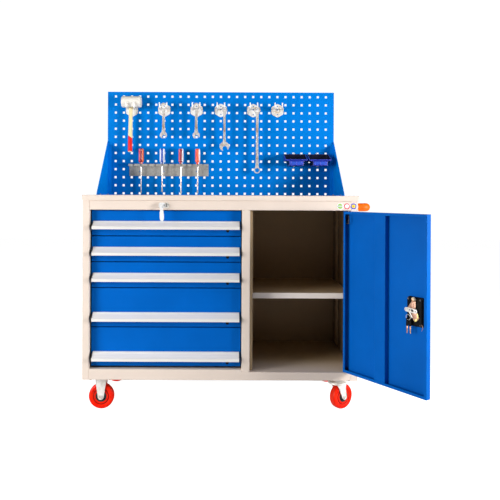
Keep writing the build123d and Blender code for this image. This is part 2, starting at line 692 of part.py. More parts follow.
def wrenches():
    hung = BACK - 36
    ring_rest = PEG_Z + WRENCH_RING_RISE
    right_13 = column_x(13) + PEG_SPREAD
    right_17 = column_x(17) + PEG_SPREAD
    return {
        "wrench_1": wrench(column_x(6), hung, ring_rest, 134, 32, 20, 14, 33),
        "wrench_2": wrench(column_x(10), hung, ring_rest, 134, 32, 20, 14, 33),
        "wrench_3": wrench(right_13, hung, PEG_Z + 3.3 - 7.5, 172, 25, 15, 13, 44),
        "wrench_4": wrench(right_17, hung, PEG_Z + 3.3 - 9.5, 280, 30, 19, 14, -30),
    }


def screwdriver(notch, blade_end):
    """Fluted handle standing on the rack by its collar, with the blade in a notch."""
    x = notch_x(notch)
    y = BACK - 22
    base = RACK_TOP
    handle = Pos(x, y, base + 8) * Cylinder(12, 64, align=(Align.CENTER, Align.CENTER, Align.MIN))
    handle = fillet(handle.edges().filter_by(GeomType.CIRCLE), 4)
    for i in range(6):
        turn = math.radians(60 * i + 30)
        fx = x + 14.5 * math.cos(turn)
        fy = y + 14.5 * math.sin(turn)
        handle -= rod((fx, fy, base + 18), (fx, fy, base + 80), 4)
    handle += rod((x, y, base), (x, y, base + 10), 7)
    blade = rod((x, y, blade_end + 8), (x, y, base), 3)
    blade += block(x - 3.5, x + 3.5, y - 0.6, y + 0.6, blade_end, blade_end + 14)
    return group([handle, blade])


# Drawer lock and keys

def lock_barrel():
    """Sleeve with a flange, held in the top rail."""
    x, z = LOCK_BARREL_X, LOCK_BARREL_Z
    sleeve = rod((x, FRONT, z), (x, FRONT + 25.6, z), 9.4)
    sleeve += rod((x, FRONT - 2, z), (x, FRONT, z), 11.5)
    return sleeve - rod((x, FRONT - 3, z), (x, FRONT + 27, z), PLUG_RADIUS + 0.1)


def lock_plug():
    """Plug that turns with the key, and the locking cam at its back end."""
    x, z = LOCK_BARREL_X, LOCK_BARREL_Z
    plug = rod((x, FRONT - 1.5, z), (x, FRONT + 26, z), PLUG_RADIUS)
    cam = block(x - 5, x + 5, FRONT + 26, FRONT + 28, z - 15, z + 6)
    return plug + cam - block(x - 1.6, x + 1.6, FRONT - 3, FRONT + 20, z - 4.5, z + 4.5)


def drawer_key():
    """Blade in the plug, bow folded to the left, and a stud for the spare key."""
    x, z = LOCK_BARREL_X, LOCK_BARREL_Z
    blade = block(x - 1.2, x + 1.2, FRONT - 8, FRONT + 18, z - 3.6, z + 3.6)
    bow = block(x - 29, x - 6, FRONT - 11, FRONT - 8, z - 11, z + 11)
    bow = fillet(bow.edges().filter_by(Axis.Y), 6)
    neck = block(x - 8, x + 2, FRONT - 11, FRONT - 8, z - 4, z + 4)
    ring_hole = rod((x - 23, FRONT - 12, z), (x - 23, FRONT - 7, z), 2.2)
    stud = rod((x - 17, FRONT - 18, z), (x - 17, FRONT - 11, z), 1.5)
    return blade + bow + neck + stud - ring_hole


def key_tag():
    """Spare key hanging from the stud on the bow."""
    x = LOCK_BARREL_X - 17
    z = LOCK_BARREL_Z
    outline = [(z + 5, x - 3.5), (z + 5, x + 3.5), (z - 12, x + 3.5), (z - 26, x + 8)]
    outline += [(z - 52, x + 8), (z - 61, x + 3), (z - 61, x - 3), (z - 52, x - 8), (z - 26, x - 8)]
    outline += [(z - 12, x - 3.5)]
    tag = prism(outline, "Y", FRONT - 16.5, FRONT - 14.5)
    return tag - rod((x, FRONT - 19, z), (x, FRONT - 10, z), 1.56)


# Push handle

def push_handle_brackets():
    """Two moulded elbows on base plates."""
    solids = []
    wall = HALF_WIDTH
    for side in (-1, 1):
        y = side * HANDLE_LEG_Y
        inward = y - side * 42
        points = [(wall + 4, y, HANDLE_Z), (HANDLE_AXIS_X, y, HANDLE_Z), (HANDLE_AXIS_X, inward, HANDLE_Z)]
        elbow = tube_path(points, 18, GRIP_RADIUS)
        plate = block(wall, wall + 5, y - 22, y + 22, HANDLE_Z - 25, HANDLE_Z + 22)
        plate = fillet(plate.edges().filter_by(Axis.X), 6)
        solids.append(elbow + plate)
    return group(solids)


def push_handle_tube():
    end = HANDLE_LEG_Y - 42
    return rod((HANDLE_AXIS_X, -end, HANDLE_Z), (HANDLE_AXIS_X, end, HANDLE_Z), TUBE_RADIUS)


# Casters

def bolt_places(side):
    """Caster bolts on one side: four at the front and four at the rear."""
    places = []
    for end in (-1, 1):
        for dx in (-38, 38):
            for dy in (-30, 30):
                places.append((side * CASTER_X + dx, end * CASTER_Y + dy))
    return places


def fork_leg(x, y, crown_half, tip_half, trail, top):
    """Tapered leg with a round end at the axle."""
    outline = [(top, x - crown_half), (top, x + crown_half)]
    outline += [(WHEEL_RADIUS, x + trail + tip_half), (WHEEL_RADIUS, x + trail - tip_half)]
    leg = prism(outline, "Y", y, y + LEG_THICK)
    leg += rod((x + trail, y, WHEEL_RADIUS), (x + trail, y + LEG_THICK, WHEEL_RADIUS), tip_half)
    return leg


def axle(x, y):
    half = LEG_INSIDE + LEG_THICK
    bolt = rod((x, y - half - 3, WHEEL_RADIUS), (x, y + half + 8, WHEEL_RADIUS), AXLE_RADIUS)
    for start, size in ((y - half - 5, 5), (y + half, 6)):
        face = Plane(origin=(x, start, WHEEL_RADIUS), z_dir=(0, 1, 0))
        bolt += extrude(face * RegularPolygon(8, 6), amount=size)
    return bolt


def legs(x, y, crown_half, tip_half, trail, top):
    """Both legs of a fork, drilled for the axle."""
    pair = fork_leg(x, y + LEG_INSIDE, crown_half, tip_half, trail, top)
    pair += fork_leg(x, y - LEG_INSIDE - LEG_THICK, crown_half, tip_half, trail, top)
    reach = LEG_INSIDE + LEG_THICK + 2
    hole = rod((x + trail, y - reach, WHEEL_RADIUS), (x + trail, y + reach, WHEEL_RADIUS), AXLE_RADIUS + 0.05)
    return pair - hole


def caster_plate(x, y):
    plate = block(x - 52, x + 52, y - 42, y + 42, BODY_BOTTOM - PLATE_THICK, BODY_BOTTOM)
    plate = fillet(plate.edges().filter_by(Axis.Z), 8)
    for dx in (-38, 38):
        for dy in (-30, 30):
            plate -= Pos(x + dx, y + dy, BODY_BOTTOM - PLATE_THICK / 2) * Cylinder(BOLT_HOLE, 12)
    return plate


def fixed_caster_forks():
    """Two rigid forks with their plates and axles."""
    solids = []
    for end in (-1, 1):
        x, y = -CASTER_X, end * CASTER_Y
        top = BODY_BOTTOM - PLATE_THICK
        crown = block(x - 21, x + 21, y - 20.5, y + 20.5, top - LEG_THICK, top)
        fork = caster_plate(x, y) + crown + legs(x, y, 21, 12, 0, top)
        solids += [fork, axle(x, y)]
    return group(solids)


def swivel_caster_plates():
    """Two top plates, each with its raceway and kingpin."""
    solids = []
    for end in (-1, 1):
        x, y = CASTER_X, end * CASTER_Y
        under = BODY_BOTTOM - PLATE_THICK
        race = Pos(x, y, under) * Cylinder(27, 10, align=(Align.CENTER, Align.CENTER, Align.MAX))
        kingpin = rod((x, y, 112.3), (x, y, under), 6)
        head = rod((x, y, 112.3), (x, y, 116.2), 9)
        solids.append(caster_plate(x, y) + race + kingpin + head)
    return group(solids)


def swivel_fork(end, angle):
    """Fork under a swivel plate, turned about its kingpin, with the wheel's axle."""
    x, y = CASTER_X, end * CASTER_Y
    crown = Pos(x, y, 116.5) * Cylinder(36, 5, align=(Align.CENTER, Align.CENTER, Align.MIN))
    half = LEG_INSIDE + LEG_THICK
    crown += block(x - 22, x + 30, y - half, y + half, 116.5, 120)
    crown -= Pos(x, y, 118) * Cylinder(6.06, 12)
    fork = crown + legs(x, y, 27, 14, TRAIL, 120)
    turned = [fork, axle(x + TRAIL, y)]
    pivot = Axis((x, y, 0), (0, 0, 1))
    return group([piece.rotate(pivot, angle) for piece in turned])


def wheel(x, y):
    """Grooved tread moulded on a hub with a bore for the axle."""
    half = WHEEL_WIDTH / 2
    hub = rod((x, y - half - 1, WHEEL_RADIUS), (x, y + half + 1, WHEEL_RADIUS), HUB_RADIUS)
    hub -= rod((x, y - 20, WHEEL_RADIUS), (x, y + 20, WHEEL_RADIUS), AXLE_RADIUS + AXLE_CLEARANCE)
    tread = rod((x, y - half, WHEEL_RADIUS), (x, y + half, WHEEL_RADIUS), WHEEL_RADIUS)
    tread = fillet(tread.edges().filter_by(GeomType.CIRCLE), 6)
    tread -= rod((x, y - 20, WHEEL_RADIUS), (x, y + 20, WHEEL_RADIUS), HUB_RADIUS)
    for side in (-1, 1):
        near = y + side * half
        ring = rod((x, near - 1.5, WHEEL_RADIUS), (x, near + 1.5, WHEEL_RADIUS), 34)
        ring -= rod((x, near - 2, WHEEL_RADIUS), (x, near + 2, WHEEL_RADIUS), 30)
        tread -= ring
    return [tread, hub]


def swivel_wheel(end, angle):
    x, y = CASTER_X, end * CASTER_Y
    pivot = Axis((x, y, 0), (0, 0, 1))
    return group([piece.rotate(pivot, angle) for piece in wheel(x + TRAIL, y)])


# Fasteners

def caster_bolt(x, y):
    top = BODY_BOTTOM + CHANNEL_SHEET
    bolt = rod((x, y, 121), (x, y, top), 5)
    under = BODY_BOTTOM - PLATE_THICK
    bolt += extrude(Plane(origin=(x, y, under - 8)) * RegularPolygon(9.2, 6), amount=8)
    return bolt + extrude(Plane(origin=(x, y, top)) * RegularPolygon(9.2, 6), amount=6)


def fasteners():
    """Caster bolts with their nuts, gusset screws and board screws, as separate solids."""
    solids = [caster_bolt(x, y) for side in (-1, 1) for x, y in bolt_places(side)]
    for side in (-1, 1):
        for y in GUSSET_SCREWS:
            z = WORKTOP_TOP + SHEET
            screw = rod((side * 522, y, WORKTOP_TOP), (side * 522, y, z), 2)
            screw += rod((side * 522, y, z), (side * 522, y, z + 2.5), 4.5)
            solids.append(screw)
    for x in (-480, -160, 160, 480):
        z = 800
        solids.append(rod((x, BACK + SHEET, z), (x, BACK + SHEET + 4, z), 6))
    return group(solids)


def main():
    os.makedirs("parts", exist_ok=True)
    save(left_side_panel(), "left_side_panel")
    save(right_side_panel(), "right_side_panel")
    save(back_panel(), "back_panel")
    save(base_pan(), "base_pan")
    save(top_rail(), "top_rail")
    save(bottom_rail(), "bottom_rail")
    save(centre_divider(), "centre_divider")
    save(worktop(), "worktop")
    save(worktop_core(), "worktop_core")
    save(pegboard(), "pegboard")
    save(side_gussets(), "side_gussets")
    save(shelf(), "shelf")
    save(shelf_uprights(), "shelf_uprights")
    save(drawer_rails(), "drawer_rails")
    for number, (bottom, height) in enumerate(zip(drawer_bottoms(), DRAWER_HEIGHTS), start=1):
        save(drawer_body(bottom, height), f"drawer_{number}_body")
        save(drawer_handle(bottom), f"drawer_{number}_handle")
        save(drawer_latch(bottom), f"drawer_{number}_latch")
    save(swing_open(closed_door_leaf()), "door_leaf")
    save(group([swing_open(s) for s in closed_door_pins()]), "door_pivot_pins")
    save(group([swing_open(s) for s in closed_door_lock()]), "door_lock")
    save(swing_open(closed_door_cam()), "door_lock_cam")
    save(tool_hooks(), "tool_hooks")
    save(screwdriver_rack(), "screwdriver_rack")
    for number, x in enumerate(BIN_CENTRES, start=1):
        save(parts_bin(x), f"parts_bin_{number}")
    save(mallet(), "mallet")
    for name, shape in wrenches().items():
        save(shape, name)
    for number, (notch, end) in enumerate(zip(SCREWDRIVER_NOTCHES, BLADE_ENDS), start=1):
        save(screwdriver(notch, end), f"screwdriver_{number}")
    save(lock_barrel(), "lock_barrel")
    save(group([lock_plug(), drawer_key()]), "lock_plug_and_key")
    save(key_tag(), "key_tag")
    save(push_handle_brackets(), "push_handle_brackets")
    save(push_handle_tube(), "push_handle_tube")
    save(fixed_caster_forks(), "fixed_caster_forks")
    save(swivel_caster_plates(), "swivel_caster_plates")
    for name, end in (("front", -1), ("rear", 1)):
        angle = SWIVEL_ANGLES[name]
        save(group(wheel(-CASTER_X, end * CASTER_Y)), f"{name}_left_wheel")
        save(swivel_fork(end, angle), f"{name}_swivel_fork")
        save(swivel_wheel(end, angle), f"{name}_right_wheel")
    save(fasteners(), "fasteners")


main()
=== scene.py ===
import json
import math

import bmesh
import bpy
from mathutils import Matrix, Vector


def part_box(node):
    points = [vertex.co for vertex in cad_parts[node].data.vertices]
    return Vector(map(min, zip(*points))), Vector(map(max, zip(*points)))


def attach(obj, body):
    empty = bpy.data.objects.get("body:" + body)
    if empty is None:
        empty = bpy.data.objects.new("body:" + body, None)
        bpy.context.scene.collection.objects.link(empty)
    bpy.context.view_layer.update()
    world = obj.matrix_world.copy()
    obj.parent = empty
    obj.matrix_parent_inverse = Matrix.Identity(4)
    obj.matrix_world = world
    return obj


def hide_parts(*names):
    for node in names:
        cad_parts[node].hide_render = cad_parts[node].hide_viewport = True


# Looks for a workshop cabinet on casters. The frame is in metres; each new piece is drawn in
# its own millimetres and then placed in the frame.

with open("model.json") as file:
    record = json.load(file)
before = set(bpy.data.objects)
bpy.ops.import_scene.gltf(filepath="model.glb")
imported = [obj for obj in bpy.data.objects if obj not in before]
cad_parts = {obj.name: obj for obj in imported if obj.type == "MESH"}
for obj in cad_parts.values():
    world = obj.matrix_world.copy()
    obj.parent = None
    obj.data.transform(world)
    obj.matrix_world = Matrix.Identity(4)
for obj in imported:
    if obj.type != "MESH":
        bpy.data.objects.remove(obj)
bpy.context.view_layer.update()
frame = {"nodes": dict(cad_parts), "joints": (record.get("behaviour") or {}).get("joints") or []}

MM = 0.001
scene = bpy.context.scene
nodes = frame["nodes"]
joints = {joint["name"]: joint for joint in frame["joints"]}
IDENTITY = Matrix.Identity(4)


def spin(degrees, axis):
    return Matrix.Rotation(math.radians(degrees), 4, axis)


def shift(x, y, z):
    return Matrix.Translation((x, y, z))


FACING_FRONT = spin(90, "X")        # a flat part's drawing plane stands up and faces the front
INWARD = spin(-90, "X")             # a turned part's Z points from the front to the back
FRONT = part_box("top_rail")[0].y     # face of the front rails


# -------- materials

class Nodes:
    """Helpers for the nodes of a material or a world. Lengths are in metres."""

    def __init__(self, owner, coordinates):
        owner.use_nodes = True
        self.tree = owner.node_tree
        self.tree.nodes.clear()
        self.place = self.node("TexCoord").outputs[coordinates]

    def node(self, kind, **settings):
        made = self.tree.nodes.new("ShaderNode" + kind)
        for key, value in settings.items():
            setattr(made, key, value)
        return made

    def link(self, source, target):
        self.tree.links.new(source, target)

    def fill(self, target, value):
        if hasattr(value, "is_linked"):
            self.link(value, target)
        elif hasattr(value, "__len__") and len(value) == 3 and len(target.default_value) == 4:
            target.default_value = (*value, 1.0)
        else:
            target.default_value = value

    def noise(self, scale, detail=3.0, stretch=(1, 1, 1), distortion=0.0):
        moved = self.node("Mapping")
        moved.inputs["Scale"].default_value = stretch
        self.link(self.place, moved.inputs["Vector"])
        made = self.node("TexNoise")
        self.link(moved.outputs[0], made.inputs["Vector"])
        made.inputs["Scale"].default_value = scale
        made.inputs["Detail"].default_value = detail
        made.inputs["Roughness"].default_value = 0.55
        made.inputs["Distortion"].default_value = distortion
        return made.outputs["Fac"]

    def ramp(self, source, stops, steps=False):
        made = self.node("ValToRGB")
        if steps:
            made.color_ramp.interpolation = "CONSTANT"
        elements = made.color_ramp.elements
        while len(elements) < len(stops):
            elements.new(0.5)
        for element, (position, colour) in zip(elements, stops):
            element.position = position
            value = colour if hasattr(colour, "__len__") else (colour,) * 3
            element.color = (*value, 1.0)
        self.link(source, made.inputs[0])
        return made.outputs[0]

    def math(self, operation, a, b=0.0, clamp=False):
        made = self.node("Math", operation=operation, use_clamp=clamp)
        self.fill(made.inputs[0], a)
        self.fill(made.inputs[1], b)
        return made.outputs[0]

    def times(self, product, *factors):
        for factor in factors:
            product = self.math("MULTIPLY", product, factor)
        return product

    def span(self, source, low, high, to_low=0.0, to_high=1.0):
        made = self.node("MapRange")
        self.link(source, made.inputs["Value"])
        made.inputs["From Min"].default_value = low
        made.inputs["From Max"].default_value = high
        made.inputs["To Min"].default_value = to_low
        made.inputs["To Max"].default_value = to_high
        return made.outputs[0]

    def mix(self, share, a, b):
        made = self.node("Mix", data_type="RGBA")
        self.fill(made.inputs[0], share)
        self.fill(made.inputs[6], a)
        self.fill(made.inputs[7], b)
        return made.outputs[2]

    def along(self, axis):
        made = self.node("SeparateXYZ")
        self.link(self.place, made.inputs[0])
        return made.outputs["XYZ".index(axis)]

    def radius(self, axes):
        """Distance from the line through the piece's origin that is square to both named axes."""
        flat = self.node("VectorMath", operation="MULTIPLY")
        self.link(self.place, flat.inputs[0])
        flat.inputs[1].default_value = tuple(1.0 if axis in axes else 0.0 for axis in "XYZ")
        made = self.node("VectorMath", operation="LENGTH")
        self.link(flat.outputs[0], made.inputs[0])
        return made.outputs["Value"]

    def edges(self, width):
        """About 1 on sharp edges and 0 on flat ground."""
        bevel = self.node("Bevel", samples=4)
        bevel.inputs["Radius"].default_value = width
        geometry = self.node("NewGeometry")
        dot = self.node("VectorMath", operation="DOT_PRODUCT")
        self.link(bevel.outputs[0], dot.inputs[0])
        self.link(geometry.outputs["Normal"], dot.inputs[1])
        return self.span(dot.outputs["Value"], 0.995, 0.8)


class Look(Nodes):
    """A principled material."""

    def __init__(self, name, roughness=0.5, metallic=0.0, specular=0.5):
        self.material = bpy.data.materials.new(name)
        super().__init__(self.material, "Object")
        output = self.node("OutputMaterial")
        self.shader = self.node("BsdfPrincipled")
        self.link(self.shader.outputs[0], output.inputs[0])
        self.put("Roughness", roughness)
        self.put("Metallic", metallic)
        self.put("Specular IOR Level", specular)

    def put(self, socket, value):
        self.fill(self.shader.inputs[socket], value)

    def rough(self, cloud, low, high):
        """Lets the roughness follow a noise between two values."""
        self.put("Roughness", self.span(cloud, 0.3, 0.7, low, high))

    def bump(self, *layers):
        """Each layer is (height, depth in metres)."""
        normal = None
        for height, depth in layers:
            made = self.node("Bump")
            made.inputs["Distance"].default_value = depth
            self.link(height, made.inputs["Height"])
            if normal is not None:
                self.link(normal, made.inputs["Normal"])
            normal = made.outputs[0]
        self.put("Normal", normal)


def scaled(colour, factor):
    return tuple(min(1.0, part * factor) for part in colour)


def powder_coat(name, colour, glow, specular, shade=0.86, painted_shade=None):
    """Baked paint: slight orange peel, cloudy tone, thin edges brightened as a painted highlight, and fine
    scuffs.

    A painted shade is a second, darker colour, with a mask, for the faces that lie in the cabinet's shade.
    """
    look = Look(name, specular=specular)
    cloud = look.noise(5.0, 4.0)
    tone = look.ramp(cloud, [(0.3, scaled(colour, shade)), (0.7, colour)])
    # Painted shade: where the mask is 1 the paint takes the darker shaded colour.
    if painted_shade:
        inner, mask = painted_shade
        tone = look.mix(mask(look), tone, inner)
    scuff = look.noise(60.0, 6.0, (1, 1, 7), 0.6)
    scuffed = look.ramp(scuff, [(0.66, 0.0), (0.74, 1.0)])
    tone = look.mix(look.times(scuffed, 0.10), tone, scaled(colour, 1.5))
    # Painted highlight: thin edges are mixed towards a lighter colour of the paint.
    rim = look.times(look.edges(0.0012), 0.3)
    look.put("Base Color", look.mix(rim, tone, glow))
    look.rough(look.noise(38.0, 5.0), 0.34, 0.50)
    look.bump((look.noise(900.0, 1.0), 0.00006), (look.noise(14.0, 2.0), 0.0002))
    return look.material


def plated(name, colour, tint, roughness, spread=55.0, metallic=1.0, edge=None):
    """Zinc or chrome plate with cloudy warm tints and fine brushing.

    Its edges get a thin painted highlight; where a colour is given, a wider band of that colour is painted
    instead, as a painted reflection on the tools and as painted shade round the holes of the hook plates.
    """
    width, strength = (0.0014, 0.8) if edge else (0.0006, 0.35)
    look = Look(name, metallic=metallic)
    cloud = look.noise(spread, 4.0, distortion=0.8)
    tone = look.ramp(cloud, [(0.32, tint), (0.50, colour), (0.72, scaled(colour, 1.12))])
    # Painted highlight on the edges, unless another edge colour is given.
    rim = look.times(look.edges(width), strength)
    look.put("Base Color", look.mix(rim, tone, edge or (1.0, 0.97, 0.92)))
    brushed = look.noise(700.0, 3.0, (1, 1, 0.06))
    look.rough(brushed, roughness * 0.7, roughness * 1.4)
    look.bump((brushed, 0.00003), (look.noise(120.0, 2.0), 0.00012))
    return look.material


def moulded(name, colour, roughness, specular, grain=1400.0, edge_glow=0.25):
    """Injection-moulded plastic: fine grain, flow marks, and edges brightened as a painted highlight."""
    look = Look(name, specular=specular)
    flow = look.noise(18.0, 3.0, (1, 1, 0.35), 0.5)
    tone = look.ramp(flow, [(0.3, scaled(colour, 0.82)), (0.7, colour)])
    # Painted highlight: the edges are mixed towards a paler colour of the plastic.
    rim = look.times(look.edges(0.0008), edge_glow)
    look.put("Base Color", look.mix(rim, tone, tuple(0.35 + 0.65 * part for part in colour)))
    look.rough(look.noise(90.0, 4.0), roughness * 0.8, roughness * 1.25)
    look.bump((look.noise(grain, 2.0), 0.00004), (flow, 0.0001))
    return look.material


CREAM = (0.82, 0.695, 0.60)
# Painted shade: the cream as it looks in the cabinet's shade, and deeper still on the right panel's inner
# face.
SHADED_CREAM = (0.50, 0.37, 0.22)
DEEP_SHADE_CREAM = (0.28, 0.20, 0.12)
# Painted highlight for the edges of the cream paint.
GLOW_CREAM = (0.95, 0.88, 0.80)
# Painted light: a lighter copy of the board's blue for the side gussets, which catch more light.
LIT_BOARD_BLUE = (0.0, 0.26, 0.86)
BLUE = (0.0, 0.125, 0.54)
BOARD_BLUE = (0.0, 0.19, 0.66)
ZINC = (0.92, 0.90, 0.86)
CHROME = (0.92, 0.89, 0.85)
# Painted reflection: the brown surroundings mirrored in the chrome tools.
REFLECTED_BROWN = (0.55, 0.38, 0.26)
WARM_ZINC = (0.72, 0.60, 0.46)
BLACK = (0.004, 0.004, 0.0045)


def fading(start, end):
    """Grows from one depth to another."""
    def mask(look):
        return look.span(look.along("Y"), start, end)
    return mask


def behind(depth):
    """Everything more than a few millimetres behind a depth."""
    return fading(depth, depth + 0.004)


behind_front = behind(FRONT + 0.016)


def facing(axis, sign):
    """Inner faces that look along an axis, behind the cabinet's front."""
    def mask(look):
        parts = look.node("SeparateXYZ")
        look.link(look.node("NewGeometry").outputs["True Normal"], parts.inputs[0])
        way = look.span(look.times(parts.outputs["XYZ".index(axis)], sign), 0.4, 0.6)
        return look.times(way, behind_front(look))
    return mask


def cream(name, painted_shade=None, specular=0.25):
    return powder_coat(name, CREAM, GLOW_CREAM, specular, 0.93, painted_shade)


cream_paint = cream("cream_powder_coat")
# The inner faces of the side and rear panels, and the divider and uprights behind the front, get painted
# shade.
left_inner = cream("cream_left_panel", (SHADED_CREAM, facing("X", 1.0)))
right_inner = cream("cream_right_panel", (DEEP_SHADE_CREAM, facing("X", -1.0)))
rear_inner = cream("cream_rear_panel", (SHADED_CREAM, facing("Y", -1.0)))
inside_paint = cream("cream_inside", (SHADED_CREAM, behind_front), 0.12)
# Painted shade on the floor pan grows from near the front towards the back.
pan_fade = fading(FRONT + 0.032, FRONT + 0.192)
floor_pan_paint = cream("cream_floor_pan", (SHADED_CREAM, pan_fade), 0.12)
# Painted light: the shelf takes a paler cream than the rest of the paint, and painted shade lies behind its
# front edge.
lit_shaded_shelf_paint = powder_coat(
    "cream_shelf_lit_and_shaded", (1.0, 0.90, 0.80), GLOW_CREAM, 0.25, 1.0,
    (SHADED_CREAM, behind(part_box("shelf")[0].y + 0.002)),
)
# The third colour of each blue paint is the painted highlight on its edges.
blue_paint = powder_coat("blue_powder_coat", BLUE, (0.0, 0.34, 0.86), 0.05)
# The gussets' lighter blue is painted light.
lit_board_paint = powder_coat("lit_board_blue_powder_coat", LIT_BOARD_BLUE, (0.04, 0.45, 0.95), 0.05)
board_paint = powder_coat("board_blue_powder_coat", BOARD_BLUE, (0.04, 0.42, 0.92), 0.05)
zinc_plate = plated("zinc_plate", ZINC, WARM_ZINC, 0.34, metallic=0.4)
# Painted reflection: the chrome's brown tints and brown edges stand for the brown surroundings it mirrors.
tool_chrome = plated("satin_chrome", CHROME, REFLECTED_BROWN, 0.22, 30.0, 0.45, (0.26, 0.15, 0.09))
# Painted shade: dark edges round the hook plates' holes make the holes look dark.
hook_steel = plated("hook_plate_steel", ZINC, WARM_ZINC, 0.34, 55.0, 0.3, (0.10, 0.09, 0.08))
rack_steel = plated("galvanised_steel", (0.56, 0.545, 0.51), (0.46, 0.44, 0.41), 0.55, 160.0)
copper_plate = plated("copper_flash", (0.66, 0.38, 0.27), (0.42, 0.20, 0.12), 0.42, 130.0, 0.45)
# Painted light: a paler, less metallic copy of the zinc plate for the forks, caster plates and lock parts,
# which stand in bright light.
lit_zinc = plated("lit_zinc", (0.97, 0.94, 0.88), (0.86, 0.81, 0.72), 0.42, 60.0, 0.25)
bolt_steel = plated("yellowed_bolt_steel", (0.40, 0.24, 0.12), (0.20, 0.11, 0.05), 0.40, 200.0, 0.6)
dark_steel = plated("blackened_steel", (0.10, 0.10, 0.11), (0.04, 0.035, 0.03), 0.40, 80.0)
black_plastic = moulded("black_plastic", BLACK, 0.55, 0.12, edge_glow=0.05)
orange_plastic = moulded("orange_plastic", (1.0, 0.17, 0.002), 0.42, 0.25, edge_glow=0.1)
white_plastic = moulded("white_key_plastic", (0.90, 0.90, 0.89), 0.35, 0.5)
bin_plastic = moulded("bin_plastic", (0.015, 0.04, 0.38), 0.35, 0.4, edge_glow=0.9)
hub_plastic = moulded("dark_green_hub_plastic", (0.02, 0.045, 0.04), 0.45, 0.4)


def brushed_aluminium():
    """Anodised extrusion: long die lines, with the moulded end caps told apart by their place."""
    cap_width = 0.0026
    look = Look("anodised_aluminium")
    lines = look.noise(420.0, 4.0, (0.012, 1, 1))
    tone = look.ramp(lines, [(0.3, (0.88, 0.85, 0.81)), (0.7, (0.98, 0.95, 0.91))])
    low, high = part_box("drawer_1_handle")
    left = look.math("LESS_THAN", look.along("X"), low.x + cap_width)
    right = look.math("GREATER_THAN", look.along("X"), high.x - cap_width)
    end = look.math("ADD", left, right, clamp=True)
    look.put("Base Color", look.mix(end, tone, BLACK))
    look.put("Metallic", look.times(look.math("SUBTRACT", 1.0, end), 0.25))
    look.rough(lines, 0.34, 0.46)
    look.bump((lines, 0.00003))
    return look.material


pull_aluminium = brushed_aluminium()


def polyurethane():
    """Cast red tread with painted shade in the groove on each side, and road dust on the crown."""
    look = Look("red_polyurethane", specular=0.15)
    cloud = look.noise(40.0, 4.0)
    tone = look.ramp(cloud, [(0.3, (0.88, 0.008, 0.0)), (0.7, (1.0, 0.024, 0.0))])
    # Painted shade: a dark red ring darkens the groove in each side of the tread.
    out = look.span(look.radius("XY"), 0.024, 0.036)
    groove = look.ramp(out, [(0.25, 0.0), (0.45, 1.0), (0.56, 1.0), (0.72, 0.0)])
    tone = look.mix(look.times(groove, 0.92), tone, (0.16, 0.002, 0.0))
    crown = look.span(look.radius("XY"), 0.0488, 0.0502)
    dust = look.times(crown, look.noise(150.0, 5.0))
    look.put("Base Color", look.mix(look.times(dust, 0.35), tone, (0.50, 0.12, 0.06)))
    look.rough(cloud, 0.24, 0.38)
    look.put("Coat Weight", 0.10)
    look.put("Coat Roughness", 0.15)
    look.bump((look.noise(500.0, 3.0), 0.00008))
    return look.material


tread_red = polyurethane()


def timber(name, colour, dark):
    """Wood with its grain along Z; gives the look and its colour, which may still be painted over."""
    look = Look(name, roughness=0.5, specular=0.3)
    rings = look.noise(60.0, 4.0, (1, 1, 0.05), 1.2)
    fine = look.noise(500.0, 3.0, (1, 1, 0.03))
    tone = look.ramp(rings, [(0.35, dark), (0.6, colour)])
    tone = look.mix(look.times(look.ramp(fine, [(0.55, 0.0), (0.7, 1.0)]), 0.3), tone, dark)
    look.rough(fine, 0.42, 0.6)
    look.bump((fine, 0.0001))
    return look, tone


core_look, core_tone = timber("worktop_core_board", (0.62, 0.44, 0.25), (0.45, 0.29, 0.15))
core_look.put("Base Color", core_tone)
core_board = core_look.material


# -------- shapes

class Shape:
    """A piece built from parts in its own millimetres; each part has a material slot."""

    def __init__(self):
        self.mesh = bmesh.new()

    def take(self, part, slot=0, move=IDENTITY):
        bmesh.ops.transform(part, matrix=move, verts=part.verts)
        bmesh.ops.recalc_face_normals(part, faces=part.faces)
        for face in part.faces:
            face.material_index = slot
        self.join(part)

    def join(self, part, move=IDENTITY):
        """Adds a part that has its slots already."""
        bmesh.ops.transform(part, matrix=move, verts=part.verts)
        holder = bpy.data.meshes.new("part")
        part.to_mesh(holder)
        part.free()
        self.mesh.from_mesh(holder)
        bpy.data.meshes.remove(holder)


SHARP_ANGLE = 38.0


def finish(name, shape, at, materials, body, slot, *stands_for, turn=IDENTITY):
    """Scales a shape to the frame, places it and lets it ride on its body."""
    bmesh.ops.transform(shape.mesh, matrix=Matrix.Scale(MM, 4), verts=shape.mesh.verts)
    mesh = bpy.data.meshes.new(name)
    shape.mesh.to_mesh(mesh)
    shape.mesh.free()
    for material in materials:
        mesh.materials.append(material)
    mesh.shade_smooth()
    mesh.set_sharp_from_angle(angle=math.radians(SHARP_ANGLE))
    piece = bpy.data.objects.new(name, mesh)
    scene.collection.objects.link(piece)
    piece.matrix_world = Matrix.Translation(at) @ turn
    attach(piece, body)
    if stands_for:
        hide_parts(*stands_for)


def skin(rings, closed=False):
    """Joins rings of points, each with the same count, into one surface with flat ends or none."""
    made = bmesh.new()
    rows = [[made.verts.new(point) for point in ring] for ring in rings]
    pairs = list(zip(rows, rows[1:]))
    if closed:
        pairs.append((rows[-1], rows[0]))
    for a, b in pairs:
        for k in range(len(a)):
            n = (k + 1) % len(a)
            made.faces.new((a[k], a[n], b[n], b[k]))
    if not closed:
        made.faces.new(rows[0])
        made.faces.new(rows[-1])
    return made


def lathe(profile, closed=False, steps=56, flutes=None):
    """Turns (radius, height) points about Z. Flutes may scale the radius by angle and height."""
    rings = []
    for radius, height in profile:
        ring = []
        for k in range(steps):
            angle = math.tau * k / steps
            r = radius * (flutes(angle, height) if flutes else 1.0)
            ring.append((r * math.cos(angle), r * math.sin(angle), height))
        rings.append(ring)
    return skin(rings, closed)


